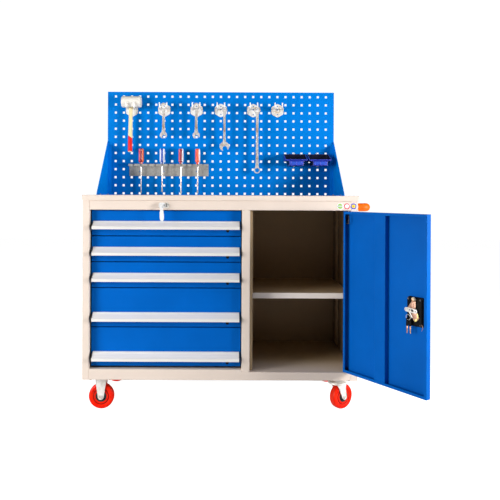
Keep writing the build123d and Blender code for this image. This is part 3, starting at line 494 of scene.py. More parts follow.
def rounded(corners, radius, steps=5):
    """A closed outline with each corner rounded; corners are given in order."""
    points = []
    count = len(corners)
    for i, corner in enumerate(corners):
        here = Vector(corner)
        back = (Vector(corners[i - 1]) - here).normalized()
        ahead = (Vector(corners[(i + 1) % count]) - here).normalized()
        half = back.angle(ahead) / 2
        reach = radius / math.tan(half)
        start = here + back * reach
        end = here + ahead * reach
        centre = here + (back + ahead).normalized() * (radius / math.sin(half))
        a, b = start - centre, end - centre
        for k in range(steps + 1):
            mixed = (a * (1 - k / steps) + b * (k / steps)).normalized() * radius
            points.append(tuple(centre + mixed))
    return points


def circle(radius, x=0.0, y=0.0, steps=40):
    turns = [math.tau * k / steps for k in range(steps)]
    return [(x + radius * math.cos(t), y + radius * math.sin(t)) for t in turns]


def arc(radius, start, end, x=0.0, y=0.0, steps=24):
    turns = [math.radians(start + (end - start) * k / steps) for k in range(steps + 1)]
    return [(x + radius * math.cos(t), y + radius * math.sin(t)) for t in turns]


def oblong(width, height, radius, x=0.0, y=0.0):
    w, h = width / 2, height / 2
    return rounded([(x - w, y - h), (x + w, y - h), (x + w, y + h), (x - w, y + h)], radius)


def from_curve(curve):
    holder = bpy.data.objects.new("drawing", curve)
    scene.collection.objects.link(holder)
    graph = bpy.context.evaluated_depsgraph_get()
    mesh = bpy.data.meshes.new_from_object(holder.evaluated_get(graph))
    made = bmesh.new()
    made.from_mesh(mesh)
    bmesh.ops.remove_doubles(made, verts=made.verts, dist=0.001)
    bpy.data.objects.remove(holder)
    bpy.data.curves.remove(curve)
    bpy.data.meshes.remove(mesh)
    return made


def plate(loops, thickness, ease=0.4):
    """A flat part, drawn in XY with holes as further loops, with eased edges; Z 0 is its middle."""
    curve = bpy.data.curves.new("drawing", "CURVE")
    curve.dimensions = "2D"
    curve.fill_mode = "BOTH"
    curve.extrude = thickness / 2 - ease
    curve.bevel_depth = ease
    curve.bevel_resolution = 1
    curve.offset = -ease
    for loop in loops:
        spline = curve.splines.new("POLY")
        spline.points.add(len(loop) - 1)
        for point, (x, y) in zip(spline.points, loop):
            point.co = (x, y, 0.0, 1.0)
        spline.use_cyclic_u = True
    return from_curve(curve)


def bar(points, radius):
    """A round bar through points."""
    curve = bpy.data.curves.new("drawing", "CURVE")
    curve.dimensions = "3D"
    curve.bevel_depth = radius
    curve.bevel_resolution = 4
    curve.use_fill_caps = True
    spline = curve.splines.new("POLY")
    spline.points.add(len(points) - 1)
    for point, place in zip(spline.points, points):
        point.co = (*place, 1.0)
    return from_curve(curve)


def bent(corners, bend):
    """An open path whose inner corners are softened."""
    steps = 5
    path = [Vector(corners[0])]
    for a, b, c in zip(corners, corners[1:], corners[2:]):
        here = Vector(b)
        start = here + (Vector(a) - here).normalized() * bend
        end = here + (Vector(c) - here).normalized() * bend
        for k in range(steps + 1):
            t = k / steps
            path.append(start * (1 - t) ** 2 + here * 2 * t * (1 - t) + end * t ** 2)
    return path + [Vector(corners[-1])]


def slab(x0, x1, y0, y1, z0, z1, ease=0.5):
    """A box with eased edges."""
    made = bmesh.new()
    size = Matrix.Diagonal((x1 - x0, y1 - y0, z1 - z0, 1.0))
    middle = shift((x0 + x1) / 2, (y0 + y1) / 2, (z0 + z1) / 2)
    bmesh.ops.create_cube(made, size=1.0, matrix=middle @ size)
    bmesh.ops.bevel(made, geom=made.edges[:], offset=ease, segments=2, affect="EDGES", profile=0.6)
    return made


# -------- casters

WHEEL_RADIUS = 50.0
TREAD_HALF = 15.0
HUB_RIM = 21.0
BEARING = 16.0                  # outer face of the hub's bearing from the wheel's middle plane


def mirrored(half):
    """Completes the outline of a turned part whose two ends are alike; the first point is in the middle."""
    return half + [(r, -h) for r, h in reversed(half[1:])]


def wheel_shape():
    """Cast tread with a groove in each side, and a ribbed hub with a bearing."""
    shape = Shape()
    half = [(WHEEL_RADIUS, 0), (WHEEL_RADIUS, 6), (49.3, 10.5), (47.4, 13.6), (44.5, TREAD_HALF)]
    half += [(34.5, TREAD_HALF), (33.2, 14.0), (31.4, 14.0), (30.2, 14.8), (24.0, 14.8), (HUB_RIM, 13.8)]
    shape.take(lathe(mirrored(half), closed=True, steps=96), 0)
    hub = [(20.9, 0), (20.9, 15.2), (19.0, 15.6), (18.2, 14.6), (17.6, 10.0), (11.4, 9.0)]
    hub += [(10.8, 15.4), (10.2, BEARING), (5.1, BEARING)]
    shape.take(lathe(mirrored(hub), closed=True, steps=72), 1)
    for k in range(6):
        for side in (-1, 1):
            rib = slab(10.5, 18.5, -1.1, 1.1, side * 11.7 - 2.7, side * 11.7 + 2.7, 0.4)
            shape.take(rib, 1, spin(60 * k, "Z"))
    for side in (-1, 1):
        race = [(9.6, BEARING - 0.1), (9.6, BEARING), (5.4, BEARING), (5.4, BEARING - 0.1)]
        shape.take(lathe([(r, side * h) for r, h in race], closed=True), 2)
    return shape


def axle_turn(name):
    """Turns a wheel's drawing so that its own Z is the axle."""
    axis = Vector(joints[name]["axis"])
    return axis.to_track_quat("Z", "Y").to_matrix().to_4x4()


for end in ("front", "rear"):
    for side in ("left", "right"):
        wheel = f"{end}_{side}_wheel"
        joint = wheel + "_spin"
        finish(
            wheel + "_detail", wheel_shape(), joints[joint]["pos_m"], [tread_red, hub_plastic, zinc_plate],
            wheel, "red_polyurethane", wheel, turn=axle_turn(joint),
        )


LEG_MIDDLE = 18.75              # middle of a fork leg from the wheel's middle plane
CROWN_Z = 118.0                 # top of a swivel fork
PLATE_UNDERSIDE = 132.0
PLATE_THICK = 4.0
BOSS_Z = 100.0
SWIVEL_SHOULDER = 33.0          # half width of a leg at its top
FIXED_SHOULDER = 20.5


def both_sides(right):
    """Points of an outline's right side, then of its left side."""
    return right + [(-px, py) for px, py in reversed(right)]


def fork_leg(sign, top, shoulder):
    """Pressed leg: wide above, round below, with a raised rim and a small boss above."""
    right = [(17.0, 86.0), (0.25 * shoulder + 14.5, 98.0), (0.7 * shoulder + 6.0, 106.0)]
    right += [(shoulder, 112.0), (shoulder, top)]
    outline = arc(12.0, 180, 360, 0.0, WHEEL_RADIUS, 14) + both_sides(right)
    right = [(14.0, 87.0), (0.25 * shoulder + 11.5, 99.0), (0.7 * shoulder + 3.0, 107.0)]
    right += [(shoulder - 4.0, top - 3)]
    inner = arc(9.0, 180, 360, 0.0, WHEEL_RADIUS, 14) + both_sides(right)
    layers = [
        (plate([outline], 2.6), 0.0, 0.0), (plate([outline, inner], 3.6, 0.5), 0.4, 0.0),
        (plate([circle(4.6)], 1.6, 0.5), 1.8, BOSS_Z),
    ]
    return [(part, shift(0, sign * (LEG_MIDDLE + out), lift) @ FACING_FRONT) for part, out, lift in layers]


def fork_shape(trail, top, shoulder):
    """Both legs, the crown over the wheel, and the axle with its nuts; X is the trailing way."""
    shape = Shape()
    rise = top - WHEEL_RADIUS
    lean = Matrix.Identity(4)
    lean[0][2] = -trail / rise
    lean[0][3] = trail + trail * WHEEL_RADIUS / rise
    axle_place = shift(trail, 0, WHEEL_RADIUS)
    for sign in (-1, 1):
        for part, move in fork_leg(sign, top, shoulder):
            shape.take(part, 0, lean @ move)
        for radius, low, high, steps in ((8.5, 20.6, 22.0, 32), (6.8, 22.0, 25.8, 6), (4.6, 25.8, 27.2, 32)):
            nut = lathe([(radius, low), (radius, high)], steps=steps)
            shape.take(nut, 1, axle_place @ spin(-90 * sign, "X"))
    shape.take(lathe([(4.9, -20), (4.9, 20)], steps=32), 1, axle_place @ spin(90, "X"))
    shape.take(plate([oblong(43, 41, 5)], 3.5, 0.6), 0, shift(0, 0, top - 0.2))
    return shape


fork_materials = [lit_zinc, zinc_plate]
for end in ("front", "rear"):
    joint = f"{end}_swivel_turn"
    x, y, z = joints[joint]["pos_m"]
    away = Vector(joints[f"{end}_right_wheel_spin"]["pos_m"]) - Vector((x, y, WHEEL_RADIUS * MM))
    heading = math.degrees(math.atan2(away.y, away.x))
    swivel = fork_shape(away.length / MM, CROWN_Z - 2.0, SWIVEL_SHOULDER)
    cup = [(20, 113), (33, 113), (36.8, 110.5), (38, 104.5), (36.4, 104.2), (35.4, 109.4)]
    cup += [(32.6, 111.4), (20, 111.4)]
    swivel.take(lathe(cup, closed=True), 0)
    race = [(26, -1.2), (30, 0.0), (30, 4.5), (27, 6.5), (10, 6.5), (10, -1.2)]
    swivel.take(lathe(race, closed=True), 0, shift(0, 0, CROWN_Z))
    finish(
        f"{end}_swivel_fork_detail", swivel, (x, y, 0.0), fork_materials, f"{end}_swivel",
        "zinc_plate", f"{end}_swivel_fork", turn=spin(heading, "Z"),
    )


def fixed_forks(x, y):
    """The front and rear fork in one piece; the local origin is on the floor below the front one."""
    shape = Shape()
    for end in ("front", "rear"):
        place = Vector(joints[f"{end}_left_wheel_spin"]["pos_m"])
        fork = fork_shape(0.0, PLATE_UNDERSIDE, FIXED_SHOULDER)
        top_plate = plate([oblong(104, 84, 8)], PLATE_THICK, 0.7)
        fork.take(top_plate, 0, shift(0, 0, PLATE_UNDERSIDE + PLATE_THICK / 2))
        shape.join(fork.mesh, shift((place.x - x) / MM, (place.y - y) / MM, 0))
    return shape


x, y, z = joints["front_left_wheel_spin"]["pos_m"]
finish(
    "fixed_caster_forks_detail", fixed_forks(x, y), (x, y, 0.0), fork_materials, "root",
    "zinc_plate", "fixed_caster_forks",
)


# -------- tools on the board

def standing(shape, loops, thickness, depth=0.0, slot=0, ease=0.4, lift=0.0):
    """Adds a flat part that faces the front, at a depth along Y."""
    shape.take(plate(loops, thickness, ease), slot, shift(0, depth, lift) @ FACING_FRONT)


def twelve_point(bore):
    """Bore of a ring spanner: twelve notches round a circle."""
    turns = [(bore / 2 * (1.09 if k % 2 else 0.99), math.tau * k / 24) for k in range(24)]
    return [(radius * math.cos(t), radius * math.sin(t)) for radius, t in turns]


def jaw_outline(size, tilt):
    """Open jaw: a round head with a flat-sided mouth turned off the shank's line."""
    head = size / 2
    mouth = size * 0.25
    lip = math.degrees(math.asin(mouth / head))
    points = arc(head, -90 + lip, 270 - lip, steps=36)
    points += [(-mouth * 0.96, -head * 0.30), (-mouth * 0.55, -head * 0.02)]
    points += [(0.0, head * 0.08), (mouth * 0.55, -head * 0.02), (mouth * 0.96, -head * 0.30)]
    turned = math.radians(tilt)
    c, s = math.cos(turned), math.sin(turned)
    return [(px * c - py * s, px * s + py * c) for px, py in points]


def wrench_shape(ring, bore, span, shank, jaw):
    """Ring up, shank with a recessed panel, and an open jaw or a second ring below."""
    shape = Shape()
    standing(shape, [circle(ring / 2), twelve_point(bore)], 9.0, ease=1.1)
    low = -span
    head = abs(jaw)
    if jaw > 0:
        standing(shape, [jaw_outline(jaw, 15)], 7.0, ease=0.9, lift=low)
    else:
        standing(shape, [circle(head / 2), twelve_point(bore)], 9.0, ease=1.1, lift=low)
    top = -ring * 0.46
    bottom = low + head * 0.44
    w = shank / 2
    right = [(w * 1.15, top), (w * 0.90, top - 12), (w * 0.74, (top + bottom) / 2)]
    right += [(w * 0.92, bottom + 14), (w * 1.25, bottom)]
    outline = both_sides(right)
    standing(shape, [outline], 4.2, ease=0.7)
    inner = [(px * 0.60, py) for px, py in right]
    inner[0] = (w * 0.50, top - 9)
    inner[-1] = (w * 0.50, bottom + 9)
    standing(shape, [outline, both_sides(inner)], 5.8, ease=0.6)
    return shape


# Ring, bore, span between heads, shank and jaw; a jaw below 0 is a second ring
WRENCHES = [(32, 20, 134, 14, 33), (32, 20, 134, 14, 33), (25, 15, 172, 13, 44), (30, 19, 280, 14, -30)]
for number, sizes in enumerate(WRENCHES, start=1):
    low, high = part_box(f"wrench_{number}")
    middle = (low + high) / 2
    place = (middle.x, middle.y, high.z - sizes[0] / 2 * MM)
    finish(
        f"wrench_{number}_detail", wrench_shape(*sizes), place, [tool_chrome], f"wrench_{number}",
        "tool_steel", f"wrench_{number}",
    )


def striped_plastic(name, left, middle, right):
    """Clear-cast handle with coloured stripes that repeat round it."""
    look = Look(name)
    across = look.along("X")
    inward = look.times(look.along("Y"), -1.0)
    angle = look.math("ARCTAN2", across, inward)
    turn = look.span(angle, -math.pi, math.pi)
    stops = [(0.0, middle), (1 / 12, right), (3 / 12, left), (5 / 12, middle), (7 / 12, right)]
    stops += [(9 / 12, left), (11 / 12, middle)]
    tone = look.ramp(turn, stops, steps=True)
    cloud = look.noise(70.0, 3.0, (1, 1, 0.2))
    look.put("Base Color", look.mix(look.span(cloud, 0.35, 0.65, 0.0, 0.22), tone, scaled(middle, 0.6)))
    look.rough(cloud, 0.12, 0.24)
    look.put("Coat Weight", 0.5)
    look.put("Coat Roughness", 0.08)
    look.bump((look.noise(260.0, 2.0), 0.00008))
    return look.material


PINK_RED = (0.78, 0.03, 0.06)
DARK_RED = (0.28, 0.0, 0.02)
CLEAR_WHITE = (0.88, 0.90, 0.94)
# Blade radius, then the handle's stripes at the left, in the middle and at the right
SCREWDRIVERS = [
    (2.4, (PINK_RED, DARK_RED, (1.0, 0.18, 0.02))),
    (3.0, (CLEAR_WHITE, (0.02, 0.08, 0.45), CLEAR_WHITE)),
    (3.3, (PINK_RED, DARK_RED, CLEAR_WHITE)),
    (2.7, ((1.0, 0.08, 0.02), (1.0, 0.10, 0.03), CLEAR_WHITE)),
]
HANDLE_LENGTH = 72.0
FLUTES_FROM, FLUTES_TO = 15.0, 66.0


def fluting(angle, height):
    """Six grooves along the handle, which run out over 6 mm at each end."""
    ends = min(1.0, (height - FLUTES_FROM) / 6.0, (FLUTES_TO - height) / 6.0)
    return 1.0 - 0.15 * max(0.0, ends) * max(0.0, math.cos(6 * angle)) ** 1.5


def screwdriver_shape(reach, blade):
    """Local Z 0 is the top of the rack; the blade goes down by its reach."""
    shape = Shape()
    handle = [(0.6, 0.2), (6.2, 0.0), (7.0, 1.0), (7.0, 7.0), (9.5, 8.2), (11.5, 10.5), (12.0, 14.0)]
    handle += [(12.0, 15.5 + 2.5 * k) for k in range(20)]
    handle += [(11.9, FLUTES_TO), (11.3, 68.6), (9.6, 70.6), (6.0, 71.8), (0.6, HANDLE_LENGTH)]
    shape.take(lathe(handle, steps=72, flutes=fluting), 0)
    shaft = [(blade, 0.1), (blade, 16.0 - reach), (blade * 0.9, 13.0 - reach)]
    shape.take(lathe(shaft, steps=24), 1)
    tip = [(blade * 0.75, 2.0), (blade * 1.15, 6.0), (blade * 1.15, 12.0), (blade * 0.8, 16.5)]
    rings = []
    for half, height in tip:
        thick = 0.35 + 0.13 * height
        corners = [(-half, -thick), (half, -thick), (half, thick), (-half, thick)]
        rings.append([(px, py, height - reach - 2) for px, py in corners])
    shape.take(skin(rings), 1)
    return shape


for number, (blade, stripes) in enumerate(SCREWDRIVERS, start=1):
    low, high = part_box(f"screwdriver_{number}")
    rack_top = high.z - HANDLE_LENGTH * MM
    middle = (low + high) / 2
    handle_plastic = striped_plastic(f"screwdriver_{number}_plastic", *stripes)
    driver = screwdriver_shape((rack_top - low.z) / MM, blade)
    finish(
        f"screwdriver_{number}_detail", driver, (middle.x, middle.y, rack_top), [handle_plastic, tool_chrome],
        f"screwdriver_{number}", "screwdriver_plastic", f"screwdriver_{number}",
    )


nylon = moulded("white_nylon", (0.88, 0.84, 0.76), 0.42, 0.45, 800.0, 0.15)
HEAD_RADIUS = 26.5
PAINT_LINE = 1.117              # height of the red paint's edge where it crosses the handle's axis
mallet_low, mallet_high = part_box("mallet")
head_z = mallet_high.z - HEAD_RADIUS * MM


def mallet_wood():
    """Pale handle with its lower third dipped in red paint."""
    look, tone = timber("mallet_handle_wood", (0.90, 0.80, 0.48), (0.78, 0.60, 0.30))
    slanted = look.math("ADD", look.along("Z"), look.times(look.along("X"), 0.7))
    red = look.math("LESS_THAN", slanted, PAINT_LINE - head_z)
    tip = look.math("GREATER_THAN", look.along("Z"), mallet_low.z - head_z + 0.004)
    look.put("Base Color", look.mix(look.times(red, tip), tone, (0.80, 0.005, 0.003)))
    return look.material


def mallet_shape(drop):
    """Local origin is the middle of the head."""
    shape = Shape()
    half = [(26.2, 0.0), (26.1, 12.0), (26.4, 30.0), (HEAD_RADIUS, 39.5), (25.6, 42.6), (23.6, 44.6)]
    half += [(20.0, 46.2), (0.8, 46.5)]
    profile = [(r, -h) for r, h in reversed(half[1:])] + half
    shape.take(lathe(profile, steps=72), 0, spin(90, "Y"))
    stations = [(24.0, 8.6, 7.6), (0.0, 9.0, 8.0), (-27.0, 9.2, 8.0), (-60.0, 8.8, 7.8), (-110.0, 9.4, 8.2)]
    stations += [(-160.0, 10.2, 8.8), (-195.0, 10.4, 8.8), (4.0 - drop, 10.0, 8.5), (1.2 - drop, 8.8, 7.4)]
    stations += [(-drop, 6.0, 5.0)]
    rings = []
    for height, a, b in stations:
        lean = -2.0 + 4.0 * (height - 24.0) / (drop + 24.0)
        rings.append([(lean + a * c, b * s, height) for c, s in circle(1.0, steps=36)])
    shape.take(skin(rings), 1)
    eye = plate([circle(9.8), circle(8.4)], 1.2, 0.3)
    shape.take(eye, 1, shift(-2.0, 0, -26.4))
    return shape


middle = (mallet_low + mallet_high) / 2
finish(
    "mallet_detail", mallet_shape((head_z - mallet_low.z) / MM), (middle.x, middle.y, head_z),
    [nylon, mallet_wood()], "mallet", "wood", "mallet",
)


def rim_height(y):
    """Height of the bin's rim, which slopes down to the front."""
    return min(58.0, 28.5 + max(0.0, y) * 0.39)


def tub_ring(half, front, rear, height, below_rim=False):
    """A rounded rectangle round the bin, at a height or at a distance below the rim."""
    corners = [(-half, front), (half, front), (half, rear), (-half, rear)]
    return [(x, y, rim_height(y) - height if below_rim else height) for x, y in rounded(corners, 6.0, 4)]


def bin_shape():
    """Local origin is the lower front edge. Narrow tub, shoulder, and a wide scoop with a thick rim."""
    outside = [(32.5, 3.5, 90.0, 0.2), (34.6, 1.6, 91.6, 1.6), (35.5, 0.8, 92.3, 19.5)]
    outside += [(36.6, 0.6, 92.4, 21.6), (48.6, 0.4, 92.4, 22.6), (50.0, 0.3, 92.5, 24.2)]
    rim = [(50.1, 0.2, 92.5, 3.2), (51.0, 0.0, 92.5, 2.6), (51.0, 0.0, 92.5, 0.7)]
    rim += [(50.2, 0.8, 92.0, 0.0), (48.6, 2.2, 90.6, 0.0), (48.0, 2.8, 90.2, 1.0)]
    inside = [(47.9, 3.0, 90.0, 25.6), (46.8, 3.4, 89.8, 24.6), (34.2, 3.4, 89.8, 23.8)]
    inside += [(33.4, 3.6, 89.6, 21.8), (32.4, 4.4, 89.0, 3.4), (30.6, 6.0, 87.6, 2.2)]
    rings = [tub_ring(*ring) for ring in outside]
    rings += [tub_ring(*ring, below_rim=True) for ring in rim]
    rings += [tub_ring(*ring) for ring in inside]
    shape = Shape()
    shape.take(skin(rings))
    for across in (-24.0, 0.0, 24.0):
        shape.take(slab(across - 0.9, across + 0.9, -0.2, 1.4, 3.0, 18.0, 0.3))
    shape.take(slab(-20, 20, 91.5, 98.0, 56.0, 58.0))
    shape.take(slab(-20, 20, 96.4, 98.0, 52.5, 58.0))
    return shape


def inside_bin(look):
    """Everything behind the front wall and between the side walls, below the rim."""
    between = look.math("LESS_THAN", look.math("ABSOLUTE", look.along("X")), 0.0485)
    past_front = look.math("GREATER_THAN", look.along("Y"), 0.0026)
    before_back = look.math("LESS_THAN", look.along("Y"), 0.0904)
    above = look.math("GREATER_THAN", look.along("Z"), 0.0019)
    return look.times(between, past_front, before_back, above)


def bin_look():
    """Dark blue tub with a pale violet painted highlight on its rims, painted shade inside it, and a lighter
    label panel below the shoulder.
    """
    look = Look("bin_moulding", specular=0.4)
    flow = look.noise(18.0, 3.0, (1, 1, 0.35), 0.5)
    tone = look.ramp(flow, [(0.3, (0.006, 0.016, 0.24)), (0.7, (0.010, 0.030, 0.36))])
    across = look.span(look.math("ABSOLUTE", look.along("X")), 0.030, 0.0285)
    low = look.span(look.along("Z"), 0.0035, 0.0050)
    high = look.span(look.along("Z"), 0.0190, 0.0175)
    panel = look.times(across, low, high)
    tone = look.mix(panel, tone, (0.03, 0.09, 0.56))
    # Painted shade: the inside of the bin is nearly black.
    tone = look.mix(look.times(inside_bin(look), 0.95), tone, (0.001, 0.002, 0.016))
    # Painted highlight: the rims and edges are mixed to a pale violet.
    look.put("Base Color", look.mix(look.edges(0.0022), tone, (0.20, 0.20, 0.95)))
    look.rough(look.noise(90.0, 4.0), 0.28, 0.44)
    look.bump((look.noise(1400.0, 2.0), 0.00004), (flow, 0.0001))
    return look.material


bin_moulding = bin_look()
for number in (1, 2):
    low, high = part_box(f"parts_bin_{number}")
    finish(
        f"parts_bin_{number}_detail", bin_shape(), ((low.x + high.x) / 2, low.y, low.z), [bin_moulding],
        f"parts_bin_{number}", "bin_plastic", f"parts_bin_{number}",
    )


# -------- door lock

lock_axis = joints["door_cam_turn"]["pos_m"]
door_way = spin(-joints["door_hinge"]["range_deg"][0], "Z")
AXIS_DEPTH = 20.0               # of the lock's turning joint behind the door's face
AXIS_RISE = 6.0                 # above the middle of the lock


def from_door(x, y, z):
    """A place in the lock's own drawing: across and up from its middle, and behind the door's face."""
    return shift(x, y - AXIS_DEPTH, z - AXIS_RISE)


def lock_part(shape, loops, thickness, depth, slot, ease=0.5):
    """Flat part of the lock, in the door's plane."""
    shape.take(plate(loops, thickness, ease), slot, from_door(0, depth, 0) @ FACING_FRONT)


def lock_rod(shape, x, z, radius, near, far, slot, steps=32):
    """Round pin of the lock with eased ends, from one depth to another."""
    length = far - near
    side = [(radius - 0.4, 0.0), (radius, 0.4), (radius, length - 0.5), (radius - 0.5, length)]
    shape.take(lathe(side, steps=steps), slot, from_door(x, near, z) @ INWARD)


def lock_case():
    """Bezel and paddle outside, and the moulded housing inside with its screws."""
    shape = Shape()
    lock_part(shape, [oblong(44, 110, 8), oblong(30, 90, 4)], 2.4, -0.9, 0, 0.7)
    lock_part(shape, [oblong(29, 54, 3, 0, 17.5)], 2.6, -0.2, 0, 0.8)
    lock_part(shape, [oblong(30.5, 90.5, 4)], 1.4, 8.0, 0)
    lock_part(shape, [oblong(66, 100, 7)], 9.0, 6.2, 0, 1.2)
    lock_part(shape, [oblong(60, 93, 6)], 6.0, 13.5, 0, 1.4)
    lock_part(shape, [oblong(46, 50, 5, 0, 3)], 3.0, 15.5, 0, 0.8)
    for px, pz in ((25, 43), (-25, 43), (25, -43), (-25, -43)):
        lock_rod(shape, px, pz, 3.6, 15.5, 17.6, 1)
    lock_rod(shape, 0, 6, 4.0, 15.0, 27.0, 1)
    lock_rod(shape, 17, -12, 1.5, 15.0, 28.0, 1)
    wire = bent([(-24, 13, -40), (-31, 16, -38), (-36, 16, -50), (-29, 14, -60)], 4.0)
    shape.take(bar(wire, 0.9), 2, from_door(0, 0, 0))
    return shape


def lock_keys():
    """Two keys with moulded bows, side by side on a ring."""
    shape = Shape()
    middle = from_door(0, 26.2, 0)
    for side, lean in ((-1, 3), (1, -2)):
        px = 15 + side * 4.5
        tilt = shift(px, 0, -26) @ spin(lean, "Y") @ shift(-px, 0, 26)
        place = middle @ tilt @ shift(0, side * 0.9, 0) @ FACING_FRONT
        bow = rounded([(px - 5.0, -50), (px + 5.0, -50), (px + 4.6, -22), (px - 4.6, -22)], 3.4)
        shape.take(plate([bow, circle(1.7, px, -27.0, 18)], 2.4, 0.6), 0, place)
        blade = [(-2.6, -50), (2.6, -50), (2.6, -56), (1.9, -57.5), (2.6, -59.5), (2.4, -64), (1.6, -66)]
        blade += [(2.4, -68), (1.8, -73), (0, -75.5), (-1.8, -73), (-2.4, -69), (-1.7, -62), (-2.5, -60)]
        shape.take(plate([[(px + bx, bz) for bx, bz in blade]], 1.5, 0.3), 1, place)
    ring = [Vector((17 + 9.2 * c, 0, -19.5 + 9.2 * s)) for c, s in circle(1.0, steps=40)]
    shape.take(bar(ring + ring[:1], 0.8), 2, middle)
    return shape


def lock_levers():
    """Everything that turns on the lock's stem."""
    shape = Shape()
    flats = [
        ([(27, 9), (-6, 9), (-10, 20), (-8, 38), (2, 42)], 2.0, 3, 2.2, 20.2, 0, 0.5),
        ([(17, 15), (0, 15), (-2, 30), (1, 35)], 1.5, 3, 1.4, 21.6, 0, 0.5),
        ([(9, -2), (-15, 1), (-24, -18), (-16, -28), (-1, -29)], 2.0, 3, 3.4, 20.0, 0, 0.7),
        ([(-2, -25), (-15, -22), (-15, -29), (-6, -33)], 1.6, 3, 3.6, 20.6, 3, 0.8),
        ([(-19, -2), (-22, -16), (-17, -24), (-14, -22), (-18, -15), (-15, -3)], 0.8, 2, 4.4, 20.8, 3, 0.5),
        ([(19, -1), (15, 2), (1, -19), (4, -22)], 1.2, 3, 2.0, 22.6, 1, 0.5),
    ]
    for corners, radius, steps, thickness, depth, slot, ease in flats:
        lock_part(shape, [rounded(corners, radius, steps)], thickness, depth, slot, ease)
    link = rounded([(32, 0), (32, 13), (12, 14), (-18, 10), (-20, -2), (0, -3), (12, -2)], 4.5, 5)
    lock_part(shape, [link, circle(2.4, 26, 6), circle(2.4, -13, 4)], 2.6, 25.4, 1, 0.7)
    for px, pz, radius in ((0, 6, 7.0), (26, 6, 4.4), (-13, 4, 4.4)):
        lock_part(shape, [circle(radius, px, pz), circle(radius - 2.2, px, pz)], 1.4, 27.2, 1, 0.4)
    lock_rod(shape, 0, 6, 4.6, 18.6, 28.6, 2, 6)
    lock_rod(shape, 10, 7, 2.2, 26.0, 28.2, 2)
    lock_rod(shape, -7, 5, 2.0, 26.0, 28.0, 2)
    knob = [(0.6, 0.0), (5.2, 0.0), (6.6, 1.2), (7.0, 4.0), (6.6, 10.0), (5.0, 12.6), (0.6, 13.2)]
    where = from_door(-2, 22.5, 44) @ spin(40, "Y") @ shift(0, 0, -6.5)
    shape.take(lathe(knob, steps=40), 4, where)
    return shape


yellow_zinc = plated("yellow_zinc", (0.85, 0.68, 0.22), (0.70, 0.48, 0.10), 0.30, 120.0)
key_copper = plated("copper_key_blank", (0.78, 0.38, 0.18), (0.55, 0.24, 0.10), 0.34, 150.0)


def two_tone_knob():
    """Cream plastic that turns orange on one side."""
    look = Look("two_tone_knob_plastic")
    slope = look.math("SUBTRACT", look.along("Z"), look.along("X"))
    cloud = look.noise(200.0, 3.0)
    edge = look.math("ADD", slope, look.times(cloud, 0.006))
    tone = look.ramp(look.span(edge, 0.034, 0.050), [(0.3, (0.86, 0.30, 0.10)), (0.6, (1.0, 0.78, 0.50))])
    look.put("Base Color", tone)
    look.rough(cloud, 0.25, 0.45)
    look.bump((look.noise(600.0, 2.0), 0.00005))
    return look.material


finish(
    "door_lock_case", lock_case(), lock_axis, [black_plastic, dark_steel, copper_plate], "door",
    "black_plastic", "door_lock", turn=door_way,
)
finish(
    "door_lock_keys", lock_keys(), lock_axis, [black_plastic, key_copper, zinc_plate], "door",
    "black_plastic", turn=door_way,
)
finish(
    "door_lock_levers", lock_levers(), lock_axis,
    [copper_plate, zinc_plate, dark_steel, yellow_zinc, two_tone_knob()], "door_cam",
    "brass", "door_lock_cam", turn=door_way,
)


# -------- drawer lock and its keys

def barrel_shape():
    """Sleeve with a flange. Local Y 0 is the front rail's face."""
    collar = [(7.3, 25.6), (7.3, -1.4), (7.8, -2.0), (9.4, -2.0), (10.8, -1.6), (11.4, -0.6), (11.4, 0.0)]
    collar += [(9.3, 0.2), (9.3, 25.6)]
    shape = Shape()
    shape.take(lathe(collar, steps=48, closed=True), 0, INWARD)
    return shape


def key_shape():
    """Plug with its cam, the blade in it, the moulded bow at its left and a stud for the spare key."""
    shape = Shape()
    plug = [(0.4, -1.0), (6.4, -1.0), (7.1, -0.4), (7.1, 26.0), (0.4, 26.0)]
    shape.take(lathe(plug, steps=48), 3, INWARD)
    standing(shape, [oblong(4.2, 12.6, 1.8)], 0.8, -1.1, 2, 0.2)
    shape.take(slab(-5, 5, 26, 28, -15, 6, 0.6), 3)
    bow = rounded([(-28, -10.5), (-4, -10.5), (-4, 10.5), (-28, 10.5)], 6.5, 6)
    standing(shape, [bow, circle(2.2, -23, 0, 20)], 3.0, -9.5, 0, 0.9)
    panel = rounded([(-24, -7), (-11, -7), (-11, 7), (-24, 7)], 3, 4)
    standing(shape, [panel, circle(4.0, -23, 0, 20)], 3.6, -9.5)
    standing(shape, [oblong(11, 8, 2, -3.5, 0)], 3.0, -9.5, 0, 0.6)
    shape.take(slab(-1.2, 1.2, -8.5, 16, -3.6, 3.6, 0.4), 1)
    rivet = [(0.4, -11.4), (2.3, -11.4), (2.6, -11.0), (2.6, -7.4), (0.4, -7.4)]
    for rise in (-2.6, 2.6):
        shape.take(lathe(rivet, steps=28), 2, shift(0.4, 0, rise) @ INWARD)
    stud = [(0.4, -16.4), (2.2, -16.2), (2.4, -15.2), (1.4, -14.8), (1.4, -10.8), (0.4, -10.8)]
    shape.take(lathe(stud, steps=28), 1, shift(-17, 0, 0) @ INWARD)
    return shape


def tag_shape():
    """Local origin is the stud; a narrow neck that widens to a rounded foot."""
    shape = Shape()
    outer = [(4.0, 5), (4.2, -12), (7.4, -28), (8.0, -46), (6.6, -56), (3.0, -61)]
    outline = outer + [(-px - 0.4, pz) for px, pz in reversed(outer)]
    body = rounded(outline, 1.9, 4)
    standing(shape, [body, circle(1.7, steps=20)], 2.2, ease=0.7)
    panel = rounded([(4.6, -28), (5.0, -46), (2.0, -54), (-2.4, -54), (-5.4, -46), (-5.0, -28)], 2.0, 4)
    standing(shape, [panel], 3.0, ease=0.8)
    return shape


